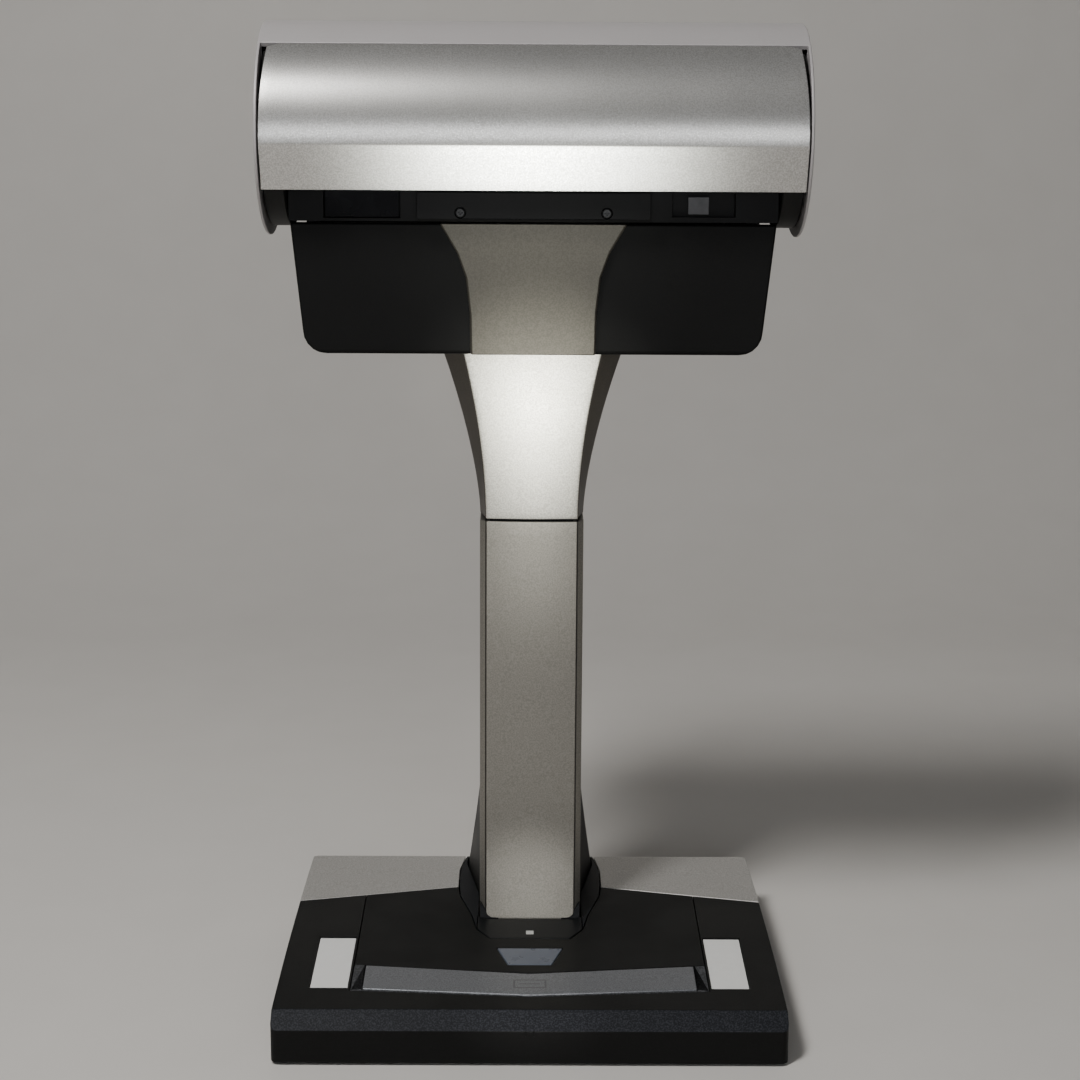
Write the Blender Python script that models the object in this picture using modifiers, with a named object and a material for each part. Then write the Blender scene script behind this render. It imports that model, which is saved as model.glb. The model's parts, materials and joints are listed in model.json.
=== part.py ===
"""Overhead book scanner: a desktop stand with a wide base, a slim column and a scanning head.

The head's visor turns about a cross shaft above the fixed chin housing, driven by a motor through
a toothed sector. The scan bar and the stop key on the base are sprung push keys.
Sizes below are in millimetres and are turned into metres by MM. +Z is up, the front faces -Y,
and the origin is on the table under the middle of the base.
"""

import math

import bmesh
import bpy
from mathutils import Matrix, Vector

MM = 0.001
GAP = 0.3

# Base
BASE_FRONT = -79.0
BASE_REAR = 79.0
BASE_HALF_WIDTH = 98.45
BASE_TAPER = 1.05
BASE_BULGE = 0.7
BASE_UNDERSIDE = 1.0
FRONT_FACE_TOP = 14.5
BAND_TOP_Y = -71.5
BAND_TOP_Z = 20.0
DECK_REAR_Y = 76.5
DECK_REAR_Z = 25.0
SKIN = 2.2
PANEL_HALF = 70.4
STRIP_NEAR = 71.8
STRIP_FAR = 86.5
STRIP_FRONT = -53.0
STRIP_REAR = -7.5
BUTTON_HALF = 65.8
BUTTON_TRAVEL = 1.2
KEY_TRAVEL = 1.0
BOARD_TOP = 10.2
SWITCH_TOP = 12.4

# Column and neck
COLUMN_HALF = 21.2
FACE_HALF = 18.6
COLUMN_FOOT = 18.0
COLUMN_TOP = 193.4
NECK_BOTTOM = 194.4
NECK_TOP = 267.2
COVER_WALL = 2.0
CORE_Y = 34.5
CORE_HALF = 11.0

# Chin housing
CHIN_FRONT = -27.5
CHIN_REAR = 52.0
CHIN_BOTTOM = 267.6
CHIN_TOP = 317.0
CHIN_HALF_BOTTOM = 87.2
CHIN_HALF_TOP = 91.3
CHIN_CORNER = 9.0
CHIN_SPLIT = 10.0
CRADLE_RADIUS = 47.3
CHASSIS_FLOOR = 293.6
CHASSIS_PLATE = 2.4

# Turning head
AXIS_Z = 350.0
HEAD_CENTRE_Y = -1.0
HEAD_CENTRE_Z = 349.0
HEAD_RADIUS_Y = 47.0
HEAD_RISE = 42.0
HEAD_DROP = 38.5
HEAD_HALF = 101.8
HEAD_WALL = 1.8
HEAD_CORNER = 7.0
VISOR_HALF = 100.4
VISOR_TOP_ANGLE = 127.2
CREASE_ANGLE = 183.9
LIP_ANGLE = 209.6
REAR_LIP_ANGLE = -28.0
CAP_INNER = 92.2
AXLE_RADIUS = 4.0
BUSH_RADIUS = 6.5
ARM_INNER = 83.4
ARM_OUTER = 86.2
GEAR_TEETH = 44
PINION_TEETH = 14
GEAR_MODULE = 1.0
GEAR_PLAY = 0.35
PINION_ANGLE = -40.0
GEAR_LEFT = 75.5
GEAR_RIGHT = 79.5
BAR_SCREW_X = 27.2
BAR_SCREW_Z = 321.6


# ---------------------------------------------------------------- collections, colours, helpers

def new_collection(name):
    collection = bpy.data.collections.new(name)
    bpy.context.scene.collection.children.link(collection)
    return collection


def clear_scene():
    for item in list(bpy.data.objects):
        bpy.data.objects.remove(item, do_unlink=True)


clear_scene()
PARTS = new_collection("book_scanner")
CUTTERS = new_collection("cutters")


def finish(piece, colour, roughness, metallic=0.0):
    """Give a piece its own plain material."""
    material = bpy.data.materials.new(piece.name + "_finish")
    material.use_nodes = True
    shader = material.node_tree.nodes["Principled BSDF"]
    shader.inputs["Base Color"].default_value = (*colour, 1.0)
    shader.inputs["Roughness"].default_value = roughness
    shader.inputs["Metallic"].default_value = metallic
    piece.data.materials.clear()
    piece.data.materials.append(material)
    return piece


def silver_paint(piece):
    return finish(piece, (0.56, 0.55, 0.52), 0.38, 0.7)


def black_plastic(piece):
    return finish(piece, (0.018, 0.018, 0.018), 0.55)


def dark_grey_plastic(piece):
    return finish(piece, (0.075, 0.07, 0.065), 0.5)


def bare_steel(piece):
    return finish(piece, (0.55, 0.55, 0.56), 0.35, 1.0)


def circuit_board(piece):
    return finish(piece, (0.03, 0.16, 0.07), 0.45)


def white_nylon(piece):
    return finish(piece, (0.8, 0.79, 0.74), 0.45)


def put_in(collection, item):
    for owner in list(item.users_collection):
        owner.objects.unlink(item)
    collection.objects.link(item)
    if collection == CUTTERS:
        item.hide_render = True
        item.display_type = "WIRE"
    return item


def frozen(item, name, collection=PARTS):
    """The item as it stands, modifiers and all, as a plain mesh object under a new name."""
    bpy.context.view_layer.update()
    graph = bpy.context.evaluated_depsgraph_get()
    mesh = bpy.data.meshes.new_from_object(item.evaluated_get(graph))
    work = bmesh.new()
    work.from_mesh(mesh)
    bmesh.ops.remove_doubles(work, verts=work.verts, dist=0.000001)
    bmesh.ops.recalc_face_normals(work, faces=work.faces)
    work.to_mesh(mesh)
    work.free()
    solid = bpy.data.objects.new(name, mesh)
    solid.matrix_world = item.matrix_world.copy()
    bpy.data.objects.remove(item, do_unlink=True)
    mesh.name = name
    return put_in(collection, solid)


AXIS_TURNS = {
    "Z": Matrix.Identity(3),
    "X": Matrix(((0, 0, 1), (1, 0, 0), (0, 1, 0))),
    "Y": Matrix(((1, 0, 0), (0, 0, -1), (0, 1, 0))),
}


def prism(name, outlines, low, high, axis="Z", collection=PARTS):
    """A flat outline, with any holes after it, pulled from low to high along an axis.

    Outlines are (x, y) pairs along Z, (y, z) pairs along X and (x, z) pairs along Y.
    """
    curve = bpy.data.curves.new(name, "CURVE")
    curve.dimensions = "2D"
    curve.fill_mode = "BOTH"
    curve.extrude = (high - low) / 2 * MM
    for outline in outlines:
        spline = curve.splines.new("POLY")
        spline.points.add(len(outline) - 1)
        for point, (u, v) in zip(spline.points, outline):
            point.co = (u * MM, v * MM, 0, 1)
        spline.use_cyclic_u = True
    item = bpy.data.objects.new(name + "_outline", curve)
    PARTS.objects.link(item)
    middle = (low + high) / 2 * MM
    shift = {"X": (middle, 0, 0), "Y": (0, middle, 0), "Z": (0, 0, middle)}[axis]
    item.matrix_world = Matrix.Translation(shift) @ AXIS_TURNS[axis].to_4x4()
    return frozen(item, name, collection)


def round_edges(piece, width, segments=2, angle=40):
    bevel = piece.modifiers.new("rounded_edges", "BEVEL")
    bevel.width = width * MM
    bevel.segments = segments
    bevel.limit_method = "ANGLE"
    bevel.angle_limit = math.radians(angle)
    return piece


def combine(piece, other, operation):
    boolean = piece.modifiers.new(operation.lower(), "BOOLEAN")
    boolean.operation = operation
    boolean.solver = "EXACT"
    boolean.object = other
    return piece


def cut(piece, *cutters):
    """Take each cutter out of the piece, and settle the result into its mesh."""
    for cutter in cutters:
        combine(piece, cutter, "DIFFERENCE")
    return settled(piece, cutters)


def keep_inside(piece, *limits):
    for limit in limits:
        combine(piece, limit, "INTERSECT")
    return settled(piece, limits)


def join(piece, *others):
    for other in others:
        combine(piece, other, "UNION")
    return settled(piece, others)


def settled(piece, tools):
    name = piece.name
    home = piece.users_collection[0]
    piece.name = name + "_rough"
    result = frozen(piece, name, home)
    for tool in tools:
        bpy.data.objects.remove(tool, do_unlink=True)
    return result


def tool(outlines, low, high, axis="Z"):
    return prism("tool", outlines, low, high, axis, CUTTERS)


def rectangle(u0, v0, u1, v1):
    return [(u0, v0), (u1, v0), (u1, v1), (u0, v1)]


def circle(u, v, radius, count=24):
    turns = [2 * math.pi * step / count for step in range(count)]
    return [(u + radius * math.cos(turn), v + radius * math.sin(turn)) for turn in turns]


def arc(u, v, radius, start, end, steps):
    turns = [math.radians(start + (end - start) * step / steps) for step in range(steps + 1)]
    return [(u + radius * math.cos(turn), v + radius * math.sin(turn)) for turn in turns]


def mirrored(right_side):
    """A full outline from its right-hand side, listed front to back."""
    left_side = [(-u, v) for u, v in reversed(right_side) if u > 0.0001]
    return right_side + left_side


def on_both_sides(outline, side):
    return [(side * u, v) for u, v in outline]


def loft(name, sections, wall):
    """An open skin through sections of equal length, thickened inwards to a shell."""
    mesh = bpy.data.meshes.new(name)
    work = bmesh.new()
    rows = [[work.verts.new(Vector(point) * MM) for point in section] for section in sections]
    for lower, upper in zip(rows, rows[1:]):
        for step in range(len(lower) - 1):
            work.faces.new((lower[step], lower[step + 1], upper[step + 1], upper[step]))
    work.normal_update()
    work.to_mesh(mesh)
    work.free()
    piece = put_in(PARTS, bpy.data.objects.new(name, mesh))
    shell = piece.modifiers.new("wall", "SOLIDIFY")
    shell.thickness = wall * MM
    shell.offset = -1
    shell.use_even_offset = True
    return settled(piece, ())


def shade_round(piece, angle=35):
    piece.data.shade_smooth()
    piece.data.set_sharp_from_angle(angle=math.radians(angle))
    return piece


# ---------------------------------------------------------------------------------------- base

def base_half_width(y):
    along = y / BASE_REAR
    return BASE_HALF_WIDTH - BASE_TAPER * along + BASE_BULGE * (1 - along * along)


def base_plan(inset, corner=3.0):
    """Plan of the base, drawn in by inset, with small round corners."""
    front = BASE_FRONT + inset
    rear = BASE_REAR - inset
    radius = max(corner - inset, 1.0)
    side_steps = 6
    sides = []
    for step in range(side_steps + 1):
        y = front + radius + (rear - front - 2 * radius) * step / side_steps
        sides.append((base_half_width(y) - inset, y))
    front_corner = arc(sides[0][0] - radius, front + radius, radius, -90, -30, 2)
    rear_corner = arc(sides[-1][0] - radius, rear - radius, radius, 30, 90, 2)
    return mirrored(front_corner + sides + rear_corner)


def base_block(name, inset, drop, bottom, collection=CUTTERS):
    """A solid with the base's outer form, drawn in by inset and lowered by drop."""
    block = prism(name, [base_plan(inset)], bottom, DECK_REAR_Z + 5, "Z", collection)
    roof = [
        (BASE_FRONT - 5, DECK_REAR_Z + 20),
        (BASE_FRONT - 5, FRONT_FACE_TOP - drop - 3.67),
        (BASE_FRONT + inset, FRONT_FACE_TOP - drop),
        (BAND_TOP_Y, BAND_TOP_Z - drop),
        (DECK_REAR_Y, DECK_REAR_Z - drop),
        (BASE_REAR + 5, DECK_REAR_Z - drop - 1.5),
        (BASE_REAR + 5, DECK_REAR_Z + 20),
    ]
    return cut(block, tool([roof], -120, 120, "X"))


def deck_piece(name, outlines, top=0.0, bottom=SKIN):
    """A piece lying in the sloping deck, from top below the surface down to bottom below it."""
    piece = prism(name, outlines, 3, DECK_REAR_Z + 5)
    return cut(
        keep_inside(piece, base_block("limit", 0.0, top, 2.0)),
        base_block("hollow", -3.0, bottom, -5.0),
    )


def grown(outline, amount):
    """An outline moved outwards by amount all round (listed anticlockwise)."""
    result = []
    count = len(outline)
    for step in range(count):
        before = Vector(outline[step - 1])
        here = Vector(outline[step])
        after = Vector(outline[(step + 1) % count])
        first = (here - before).normalized()
        second = (after - here).normalized()
        first_out = Vector((first.y, -first.x))
        second_out = Vector((second.y, -second.x))
        blend = (first_out + second_out).normalized()
        reach = amount / max(blend.dot(first_out), 0.5)
        result.append(tuple(here + blend * reach))
    return result


CHANNEL_FRONT_OUTER = -55.4
CHANNEL_FRONT_CENTRE = -60.4
CHANNEL_REAR_OUTER = -33.1
CHANNEL_REAR_CENTRE = -40.3

BUTTON_OUTLINE = [
    (-BUTTON_HALF, -54.6),
    (0, -59.6),
    (BUTTON_HALF, -54.6),
    (BUTTON_HALF, -34.0),
    (0, -41.2),
    (-BUTTON_HALF, -34.0),
]
CHANNEL_OUTLINE = [
    (-PANEL_HALF, CHANNEL_FRONT_OUTER),
    (0, CHANNEL_FRONT_CENTRE),
    (PANEL_HALF, CHANNEL_FRONT_OUTER),
    (PANEL_HALF, CHANNEL_REAR_OUTER),
    (0, CHANNEL_REAR_CENTRE),
    (-PANEL_HALF, CHANNEL_REAR_OUTER),
]
STOP_KEY_OUTLINE = mirrored([(16.5, -8.2), (21.8, 0.6), (21.8, 13.0), (20.2, 13.0), (18.4, 10.4)])
COLLAR_RIGHT = [(22.2, 2.2), (24.4, 15.0), (29.8, 34.5), (30.7, 48.0), (30.7, 62.0), (28.6, 76.0)]
LENS_OUTLINE = [(-8.7, -32.6), (8.7, -32.6), (13.3, -17.4), (-13.3, -17.4)]
TRIM_OUTLINE = [
    (31.1, 44.0),
    (104.0, 27.6),
    (104.0, 84.0),
    (29.0, 84.0),
    (29.0, 76.3),
    (31.1, 62.2),
]


def centre_panel():
    right = [
        (PANEL_HALF, CHANNEL_REAR_OUTER + GAP),
        (PANEL_HALF, 34.7),
        (31.0, 43.7),
        (30.1, 34.2),
        (24.8, 15.0),
        (22.3, 0.4),
        (16.8, -8.5),
    ]
    left = [(-u, v) for u, v in reversed(right)]
    outline = [(0, CHANNEL_REAR_CENTRE + GAP)] + right + left
    hole = grown(LENS_OUTLINE, GAP)
    return black_plastic(deck_piece("centre_panel", [outline, hole]))


def base_top_cover():
    cover = base_block("base_top_cover", 0.0, 0.0, BASE_UNDERSIDE, PARTS)
    hollow = base_block("hollow", SKIN, SKIN, -5.0)
    opening = [
        (-PANEL_HALF - GAP, CHANNEL_FRONT_OUTER - GAP),
        (0, CHANNEL_FRONT_CENTRE - GAP),
        (PANEL_HALF + GAP, CHANNEL_FRONT_OUTER - GAP),
        (PANEL_HALF + GAP, 40.0),
        (34.0, 50.0),
        (29.0, 76.0),
        (-29.0, 76.0),
        (-34.0, 50.0),
        (-PANEL_HALF - GAP, 40.0),
    ]
    cutters = [hollow, tool([opening], 12, 40)]
    for side in (1, -1):
        trim = on_both_sides([(30.0, 43.9), (104.5, 27.2), (104.5, 85), (28.0, 85)], side)
        cutters.append(tool([trim], 13.7, 40))
        strip = rectangle(STRIP_NEAR - GAP, STRIP_FRONT - GAP, STRIP_FAR + GAP, STRIP_REAR + GAP)
        pocket = tool([on_both_sides(strip, side)], 12, 40)
        cutters.append(cut(pocket, base_block("floor", -3.0, 1.5, -5.0)))
    cutters.append(tool([rectangle(36.7, 4.2, 50.3, 13.8)], 70, 90, "Y"))
    cutters.append(tool([rectangle(54.7, 4.2, 68.3, 13.8)], 70, 90, "Y"))
    return black_plastic(cut(cover, *cutters))


def rear_trim(name, side):
    outline = on_both_sides(TRIM_OUTLINE, side)
    piece = prism(name, [outline], 14.0, DECK_REAR_Z + 5)
    piece = keep_inside(piece, base_block("limit", 0.0, 0.0, 2.0))
    piece = cut(piece, base_block("hollow", SKIN, SKIN, -5.0))
    return silver_paint(piece)


def white_reference(name, side):
    outline = on_both_sides(rectangle(STRIP_NEAR, STRIP_FRONT, STRIP_FAR, STRIP_REAR), side)
    return finish(deck_piece(name, [outline], 0.5, 1.2), (0.78, 0.77, 0.72), 0.5)


def scan_button_channel():
    channel = deck_piece("scan_button_channel", [CHANNEL_OUTLINE], 0.0, 8.0)
    pocket = tool([grown(BUTTON_OUTLINE, 0.4)], 5, 40)
    pocket = cut(pocket, base_block("floor", -3.0, 6.2, -5.0))
    stem_hole = tool([rectangle(-3.4, -52.4, 3.4, -47.6)], 5, 40)
    channel = cut(channel, pocket, stem_hole)
    return finish(channel, (0.045, 0.047, 0.05), 0.7)


def scan_button():
    button = deck_piece("scan_button", [BUTTON_OUTLINE], -0.3, 3.6)
    button = settled(round_edges(button, 0.6, 2), ())
    stem = tool([rectangle(-3.0, -52.0, 3.0, -48.0)], SWITCH_TOP + GAP + BUTTON_TRAVEL, 19.0)
    return finish(join(button, stem), (0.2, 0.21, 0.22), 0.42, 0.5)


def stop_button():
    button = deck_piece("stop_button", [STOP_KEY_OUTLINE], -0.2, 3.4)
    button = settled(round_edges(button, 0.4, 1), ())
    stem = tool([rectangle(-2.5, -5.5, 2.5, -1.5)], SWITCH_TOP + GAP + KEY_TRAVEL, 21.0)
    return black_plastic(join(button, stem))


def column_collar():
    inner = [(28.0, 75.6), (27.9, 69.0), (21.8, 35.8), (21.8, 13.6), (22.2, 13.4)]
    for side in (1, -1):
        outline = on_both_sides(COLLAR_RIGHT + inner, side)
        name = "column_collar_right" if side > 0 else "column_collar_left"
        black_plastic(deck_piece(name, [outline], 0.1, 3.0))


def power_lens():
    lens = deck_piece("power_lens", [LENS_OUTLINE], 0.0, 2.6)
    return finish(lens, (0.2, 0.24, 0.32), 0.25)


SCREW_PLACES = {
    "front_left": (-86, -66),
    "front_right": (86, -66),
    "rear_left": (-86, 66),
    "rear_right": (86, 66),
}
FOOT_PLACES = {
    "front_left": (-74, -66),
    "front_right": (74, -66),
    "rear_left": (-74, 66),
    "rear_right": (74, 66),
}


def base_bottom_plate():
    holes = [circle(x, y, 3.4, 12) for x, y in SCREW_PLACES.values()]
    plate = prism("base_bottom_plate", [base_plan(2.6)] + holes, 1.6, 4.0)
    return black_plastic(plate)


def base_screws():
    for corner, (x, y) in SCREW_PLACES.items():
        head = prism("base_screw_" + corner, [circle(x, y, 3.0, 12)], 1.3, 3.4)
        shank = tool([circle(x, y, 1.4, 8)], 3.2, 8.4)
        bare_steel(join(head, shank))


def rubber_feet():
    for corner, (x, y) in FOOT_PLACES.items():
        foot = prism("rubber_foot_" + corner, [circle(x, y, 6.0, 20)], 0.0, 1.3)
        finish(foot, (0.03, 0.03, 0.03), 0.85)


def base_chassis():
    """Heavy steel plate that weighs the stand down and carries the column's core."""
    socket_notch = [(72, 73), (72, 58), (33, 58), (33, 73)]
    outline = [(-93, -73), (93, -73), (93, 73)] + socket_notch + [(-93, 73)]
    holes = [circle(x, y, 1.8, 8) for x, y in SCREW_PLACES.values()]
    return bare_steel(prism("base_chassis", [outline] + holes, 4.4, 8.4))


def main_board():
    return circuit_board(prism("main_board", [rectangle(-60, -62, 60, 6)], 8.8, BOARD_TOP))


def tact_switch(name, x, y):
    body = prism(name, [rectangle(x - 3, y - 3, x + 3, y + 3)], BOARD_TOP + GAP, 12.0)
    cap = tool([circle(x, y, 1.6, 12)], 11.0, SWITCH_TOP)
    return finish(join(body, cap), (0.05, 0.05, 0.05), 0.5, 0.2)


def power_jack():
    body = prism("power_jack", [rectangle(37.0, 4.6, 50.0, 13.4)], 60.5, 78.6, "Y")
    barrel = tool([circle(43.5, 9.0, 3.6, 20)], 68.0, 90.0, "Y")
    pin = tool([circle(43.5, 9.0, 1.0, 8)], 66.0, 77.5, "Y")
    return finish(join(cut(body, barrel), pin), (0.02, 0.02, 0.02), 0.4)


def data_socket():
    body = prism("data_socket", [rectangle(55.0, 4.6, 68.0, 13.4)], 60.5, 78.6, "Y")
    throat = tool([rectangle(57.2, 5.4, 65.8, 12.6)], 66.0, 90.0, "Y")
    tongue = tool([rectangle(58.6, 10.6, 64.4, 11.8)], 64.0, 76.5, "Y")
    return bare_steel(join(cut(body, throat), tongue))


# ---------------------------------------------------------------------------- column and neck

def bowed_front(half, y, crown, steps=6):
    """Points from left to right across a slightly domed front face."""
    points = []
    for step in range(steps + 1):
        x = -half + 2 * half * step / steps
        points.append((x, y - crown * (1 - (x / half) ** 2)))
    return points


def column_front_y(z):
    rise = (z - COLUMN_FOOT) / (COLUMN_TOP - COLUMN_FOOT)
    return 12.2 + 3.8 * rise


def column_front_cover():
    sections = []
    for z in (COLUMN_FOOT, 30.0, 60.0, 120.0, COLUMN_TOP):
        y = column_front_y(z)
        face = bowed_front(FACE_HALF, y, 0.9)
        sides = [(-COLUMN_HALF, 35.5), (-COLUMN_HALF, y + 3.6)]
        plan = sides + face + [(-u, v) for u, v in reversed(sides)]
        sections.append([(x, v, z) for x, v in plan])
    return silver_paint(loft("column_front_cover", sections, COVER_WALL))


def column_rear_cover():
    sections = []
    for z, half, rear in (
        (COLUMN_FOOT, 27.2, 74.5),
        (26.0, 27.2, 74.5),
        (38.0, 24.6, 68.6),
        (52.0, 22.4, 63.6),
        (66.0, COLUMN_HALF, 61.0),
        (COLUMN_TOP, COLUMN_HALF, 62.0),
    ):
        right = [(COLUMN_HALF, 35.9), (half, rear - 6), (half - 1.8, rear - 1.8), (half - 6, rear)]
        plan = right + [(-u, v) for u, v in reversed(right)]
        sections.append([(x, v, z) for x, v in plan])
    return dark_grey_plastic(loft("column_rear_cover", sections, COVER_WALL))


def column_core():
    bore = CORE_HALF - COVER_WALL
    outer = rectangle(-CORE_HALF, CORE_Y - CORE_HALF, CORE_HALF, CORE_Y + CORE_HALF)
    inner = rectangle(-bore, CORE_Y - bore, bore, CORE_Y + bore)
    core = prism("column_core", [outer, inner], 8.8, CHASSIS_FLOOR - GAP)
    front_wall = CORE_Y - CORE_HALF
    cable_window = tool([rectangle(-4, 11, 4, 34)], front_wall - 1, front_wall + 4, "Y")
    return bare_steel(cut(core, cable_window))


def column_cable():
    """Lead from the base board up through the core to the head."""
    low = 14.4
    bend = 9.0
    route = [(0, y, low) for y in (8.0, 14.0, 20.0)]
    for y, z in arc(CORE_Y - bend, low + bend, bend, -90, 0, 5):
        route.append((0, y, z))
    rise_steps = 12
    rise = CHASSIS_FLOOR + 2 - low - bend
    for step in range(1, rise_steps + 1):
        route.append((0, CORE_Y, low + bend + rise * step / rise_steps))
    curve = bpy.data.curves.new("column_cable", "CURVE")
    curve.dimensions = "3D"
    curve.bevel_depth = 2.0 * MM
    curve.bevel_resolution = 2
    curve.use_fill_caps = True
    spline = curve.splines.new("POLY")
    spline.points.add(len(route) - 1)
    for point, place in zip(spline.points, route):
        point.co = (*(value * MM for value in place), 1)
    item = bpy.data.objects.new("column_cable_route", curve)
    PARTS.objects.link(item)
    return finish(frozen(item, "column_cable"), (0.02, 0.02, 0.02), 0.6)


NECK_STATIONS = (
    # height, front half width, full half width, front y, rear y
    (NECK_BOTTOM, 18.7, 21.2, 16.0, 62.0),
    (210.0, 19.2, 23.0, 16.2, 61.5),
    (226.0, 20.8, 26.0, 16.8, 60.5),
    (242.0, 23.4, 30.2, 17.8, 58.5),
    (256.0, 26.6, 34.8, 19.0, 56.0),
    (NECK_TOP + 1.4, 29.6, 39.2, 20.3, 54.0),
)


def trimmed_neck(cover):
    """The neck's covers end level, just under the chin."""
    return cut(cover, tool([rectangle(-60, -20, 60, 90)], NECK_TOP, NECK_TOP + 10))


def neck_front_cover():
    sections = []
    for z, front_half, _, front_y, _ in NECK_STATIONS:
        sections.append([(x, y, z) for x, y in bowed_front(front_half, front_y, 1.0)])
    return silver_paint(trimmed_neck(loft("neck_front_cover", sections, COVER_WALL)))


def neck_rear_cover():
    sections = []
    for z, front_half, full_half, front_y, rear_y in NECK_STATIONS:
        right = [
            (front_half + 0.3, front_y + 2.6),
            (full_half, front_y + 12.0),
            (full_half, rear_y - 8.0),
            (full_half - 2.4, rear_y - 2.4),
            (full_half - 8.0, rear_y),
        ]
        plan = right + [(-u, v) for u, v in reversed(right)]
        sections.append([(x, y, z) for x, y in plan])
    return dark_grey_plastic(trimmed_neck(loft("neck_rear_cover", sections, COVER_WALL)))


# ---------------------------------------------------------------------------------- chin housing

def chin_outline(inset):
    """Front view of the chin: round bottom corners, sides leaning slightly out."""
    bottom = CHIN_BOTTOM + inset
    radius = CHIN_CORNER - inset
    foot = CHIN_HALF_BOTTOM - inset
    corner = arc(foot - radius, bottom + radius, radius, -90, 0, 5)
    top = CHIN_TOP + 12.0
    lean = (CHIN_HALF_TOP - CHIN_HALF_BOTTOM) / (CHIN_TOP - CHIN_BOTTOM - CHIN_CORNER)
    return mirrored(corner + [(CHIN_HALF_TOP + 12.0 * lean - inset, top)])


def chin_profile(inset):
    """Side view of the chin, with a cradle on top that the turning shell sweeps through."""
    cradle = arc(0, AXIS_Z, CRADLE_RADIUS + inset, -28, -107, 9)
    return [
        (CHIN_FRONT + inset, CHIN_BOTTOM + inset + 1.0),
        (CHIN_FRONT + inset + 1.0, CHIN_BOTTOM + inset),
        (CHIN_REAR - inset - 4.0, CHIN_BOTTOM + inset),
        (CHIN_REAR - inset, CHIN_BOTTOM + inset + 4.0),
        (CHIN_REAR - inset, CHIN_TOP + 5.0 - inset),
        (CHIN_REAR - inset - 4.0, CHIN_TOP + 9.5 - 1.4 * inset),
        *cradle,
        (-23.5, CHIN_TOP - inset),
        (CHIN_FRONT + inset, CHIN_TOP - inset),
    ]


def chin_solid(name, inset, collection=PARTS):
    block = prism(name, [chin_outline(inset)], CHIN_FRONT - 5, CHIN_REAR + 5, "Y", collection)
    return keep_inside(block, tool([chin_profile(inset)], -110, 110, "X"))


def chin_cover(name, front):
    cover = chin_solid(name, 0.0)
    half = rectangle(-120, -60, 120, CHIN_SPLIT) if front else rectangle(-120, CHIN_SPLIT + GAP, 120, 80)
    cover = keep_inside(cover, tool([half], 250, 330))
    top_opening = tool([rectangle(-87.4, -20.0, 87.4, 20.0)], 294, 330)
    room = CORE_HALF + 1.0
    neck_opening = tool([rectangle(-room, CORE_Y - room, room, CORE_Y + room)], 255, 275)
    return black_plastic(cut(cover, chin_solid("hollow", 2.2, CUTTERS), top_opening, neck_opening))


def chin_centre_plate():
    right = [(23.7, 267.8), (24.0, 284.0), (25.4, 297.0), (28.6, 306.0), (35.2, 317.2)]
    plate = prism("chin_centre_plate", [mirrored(right)], CHIN_FRONT - 2.4, CHIN_FRONT - GAP, "Y")
    return silver_paint(settled(round_edges(plate, 0.6, 1, 50), ()))


def head_chassis():
    top = CHASSIS_FLOOR + CHASSIS_PLATE
    spread = rectangle(-ARM_OUTER, -10, ARM_OUTER, CORE_Y + CORE_HALF)
    cable_hole = circle(0, CORE_Y, 3.4, 12)
    floor = prism("head_chassis", [spread, cable_hole], CHASSIS_FLOOR, top)
    arms = []
    for side in (1, -1):
        outline = [(-8, top - 1), (8, top - 1)] + arc(0, AXIS_Z, 9.4, 0, 180, 10)
        low, high = sorted((side * ARM_INNER, side * ARM_OUTER))
        arms.append(tool([outline, circle(0, AXIS_Z, BUSH_RADIUS + GAP, 24)], low, high, "X"))
    return bare_steel(join(floor, *arms))


def axle_bush(name, side):
    low, high = sorted((side * (ARM_INNER - 0.2), side * (ARM_OUTER + 0.6)))
    rings = [circle(0, AXIS_Z, BUSH_RADIUS, 24), circle(0, AXIS_Z, AXLE_RADIUS + GAP, 24)]
    return finish(prism(name, rings, low, high, "X"), (0.45, 0.33, 0.12), 0.35, 1.0)


def pinion_centre():
    reach = GEAR_MODULE * (GEAR_TEETH + PINION_TEETH) / 2 + GEAR_PLAY
    turn = math.radians(PINION_ANGLE)
    return reach * math.cos(turn), AXIS_Z + reach * math.sin(turn)


def gear_teeth(u, v, teeth, first, count, clockwise_start=0.0):
    """Tooth points for count teeth from the tooth numbered first."""
    pitch = 360.0 / teeth
    root = GEAR_MODULE * teeth / 2 - 1.2 * GEAR_MODULE
    tip = GEAR_MODULE * teeth / 2 + 0.85 * GEAR_MODULE
    points = []
    for number in range(first, first + count):
        middle = clockwise_start + number * pitch
        for share, radius in ((-0.3, root), (-0.12, tip), (0.12, tip), (0.3, root)):
            turn = math.radians(middle + share * pitch)
            points.append((u + radius * math.cos(turn), v + radius * math.sin(turn)))
    return points


def sector_gear():
    """Toothed sector on the optics frame; a tooth gap faces the pinion at rest."""
    pitch = 360.0 / GEAR_TEETH
    start = PINION_ANGLE + pitch / 2
    teeth = gear_teeth(0, AXIS_Z, GEAR_TEETH, -2, 9, start)
    hub = arc(0, AXIS_Z, 8.5, 60, 270, 12)
    outline = teeth + hub
    rings = [outline, circle(0, AXIS_Z, AXLE_RADIUS + GAP, 24)]
    return white_nylon(prism("sector_gear", rings, GEAR_LEFT, GEAR_RIGHT, "X"))


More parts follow.
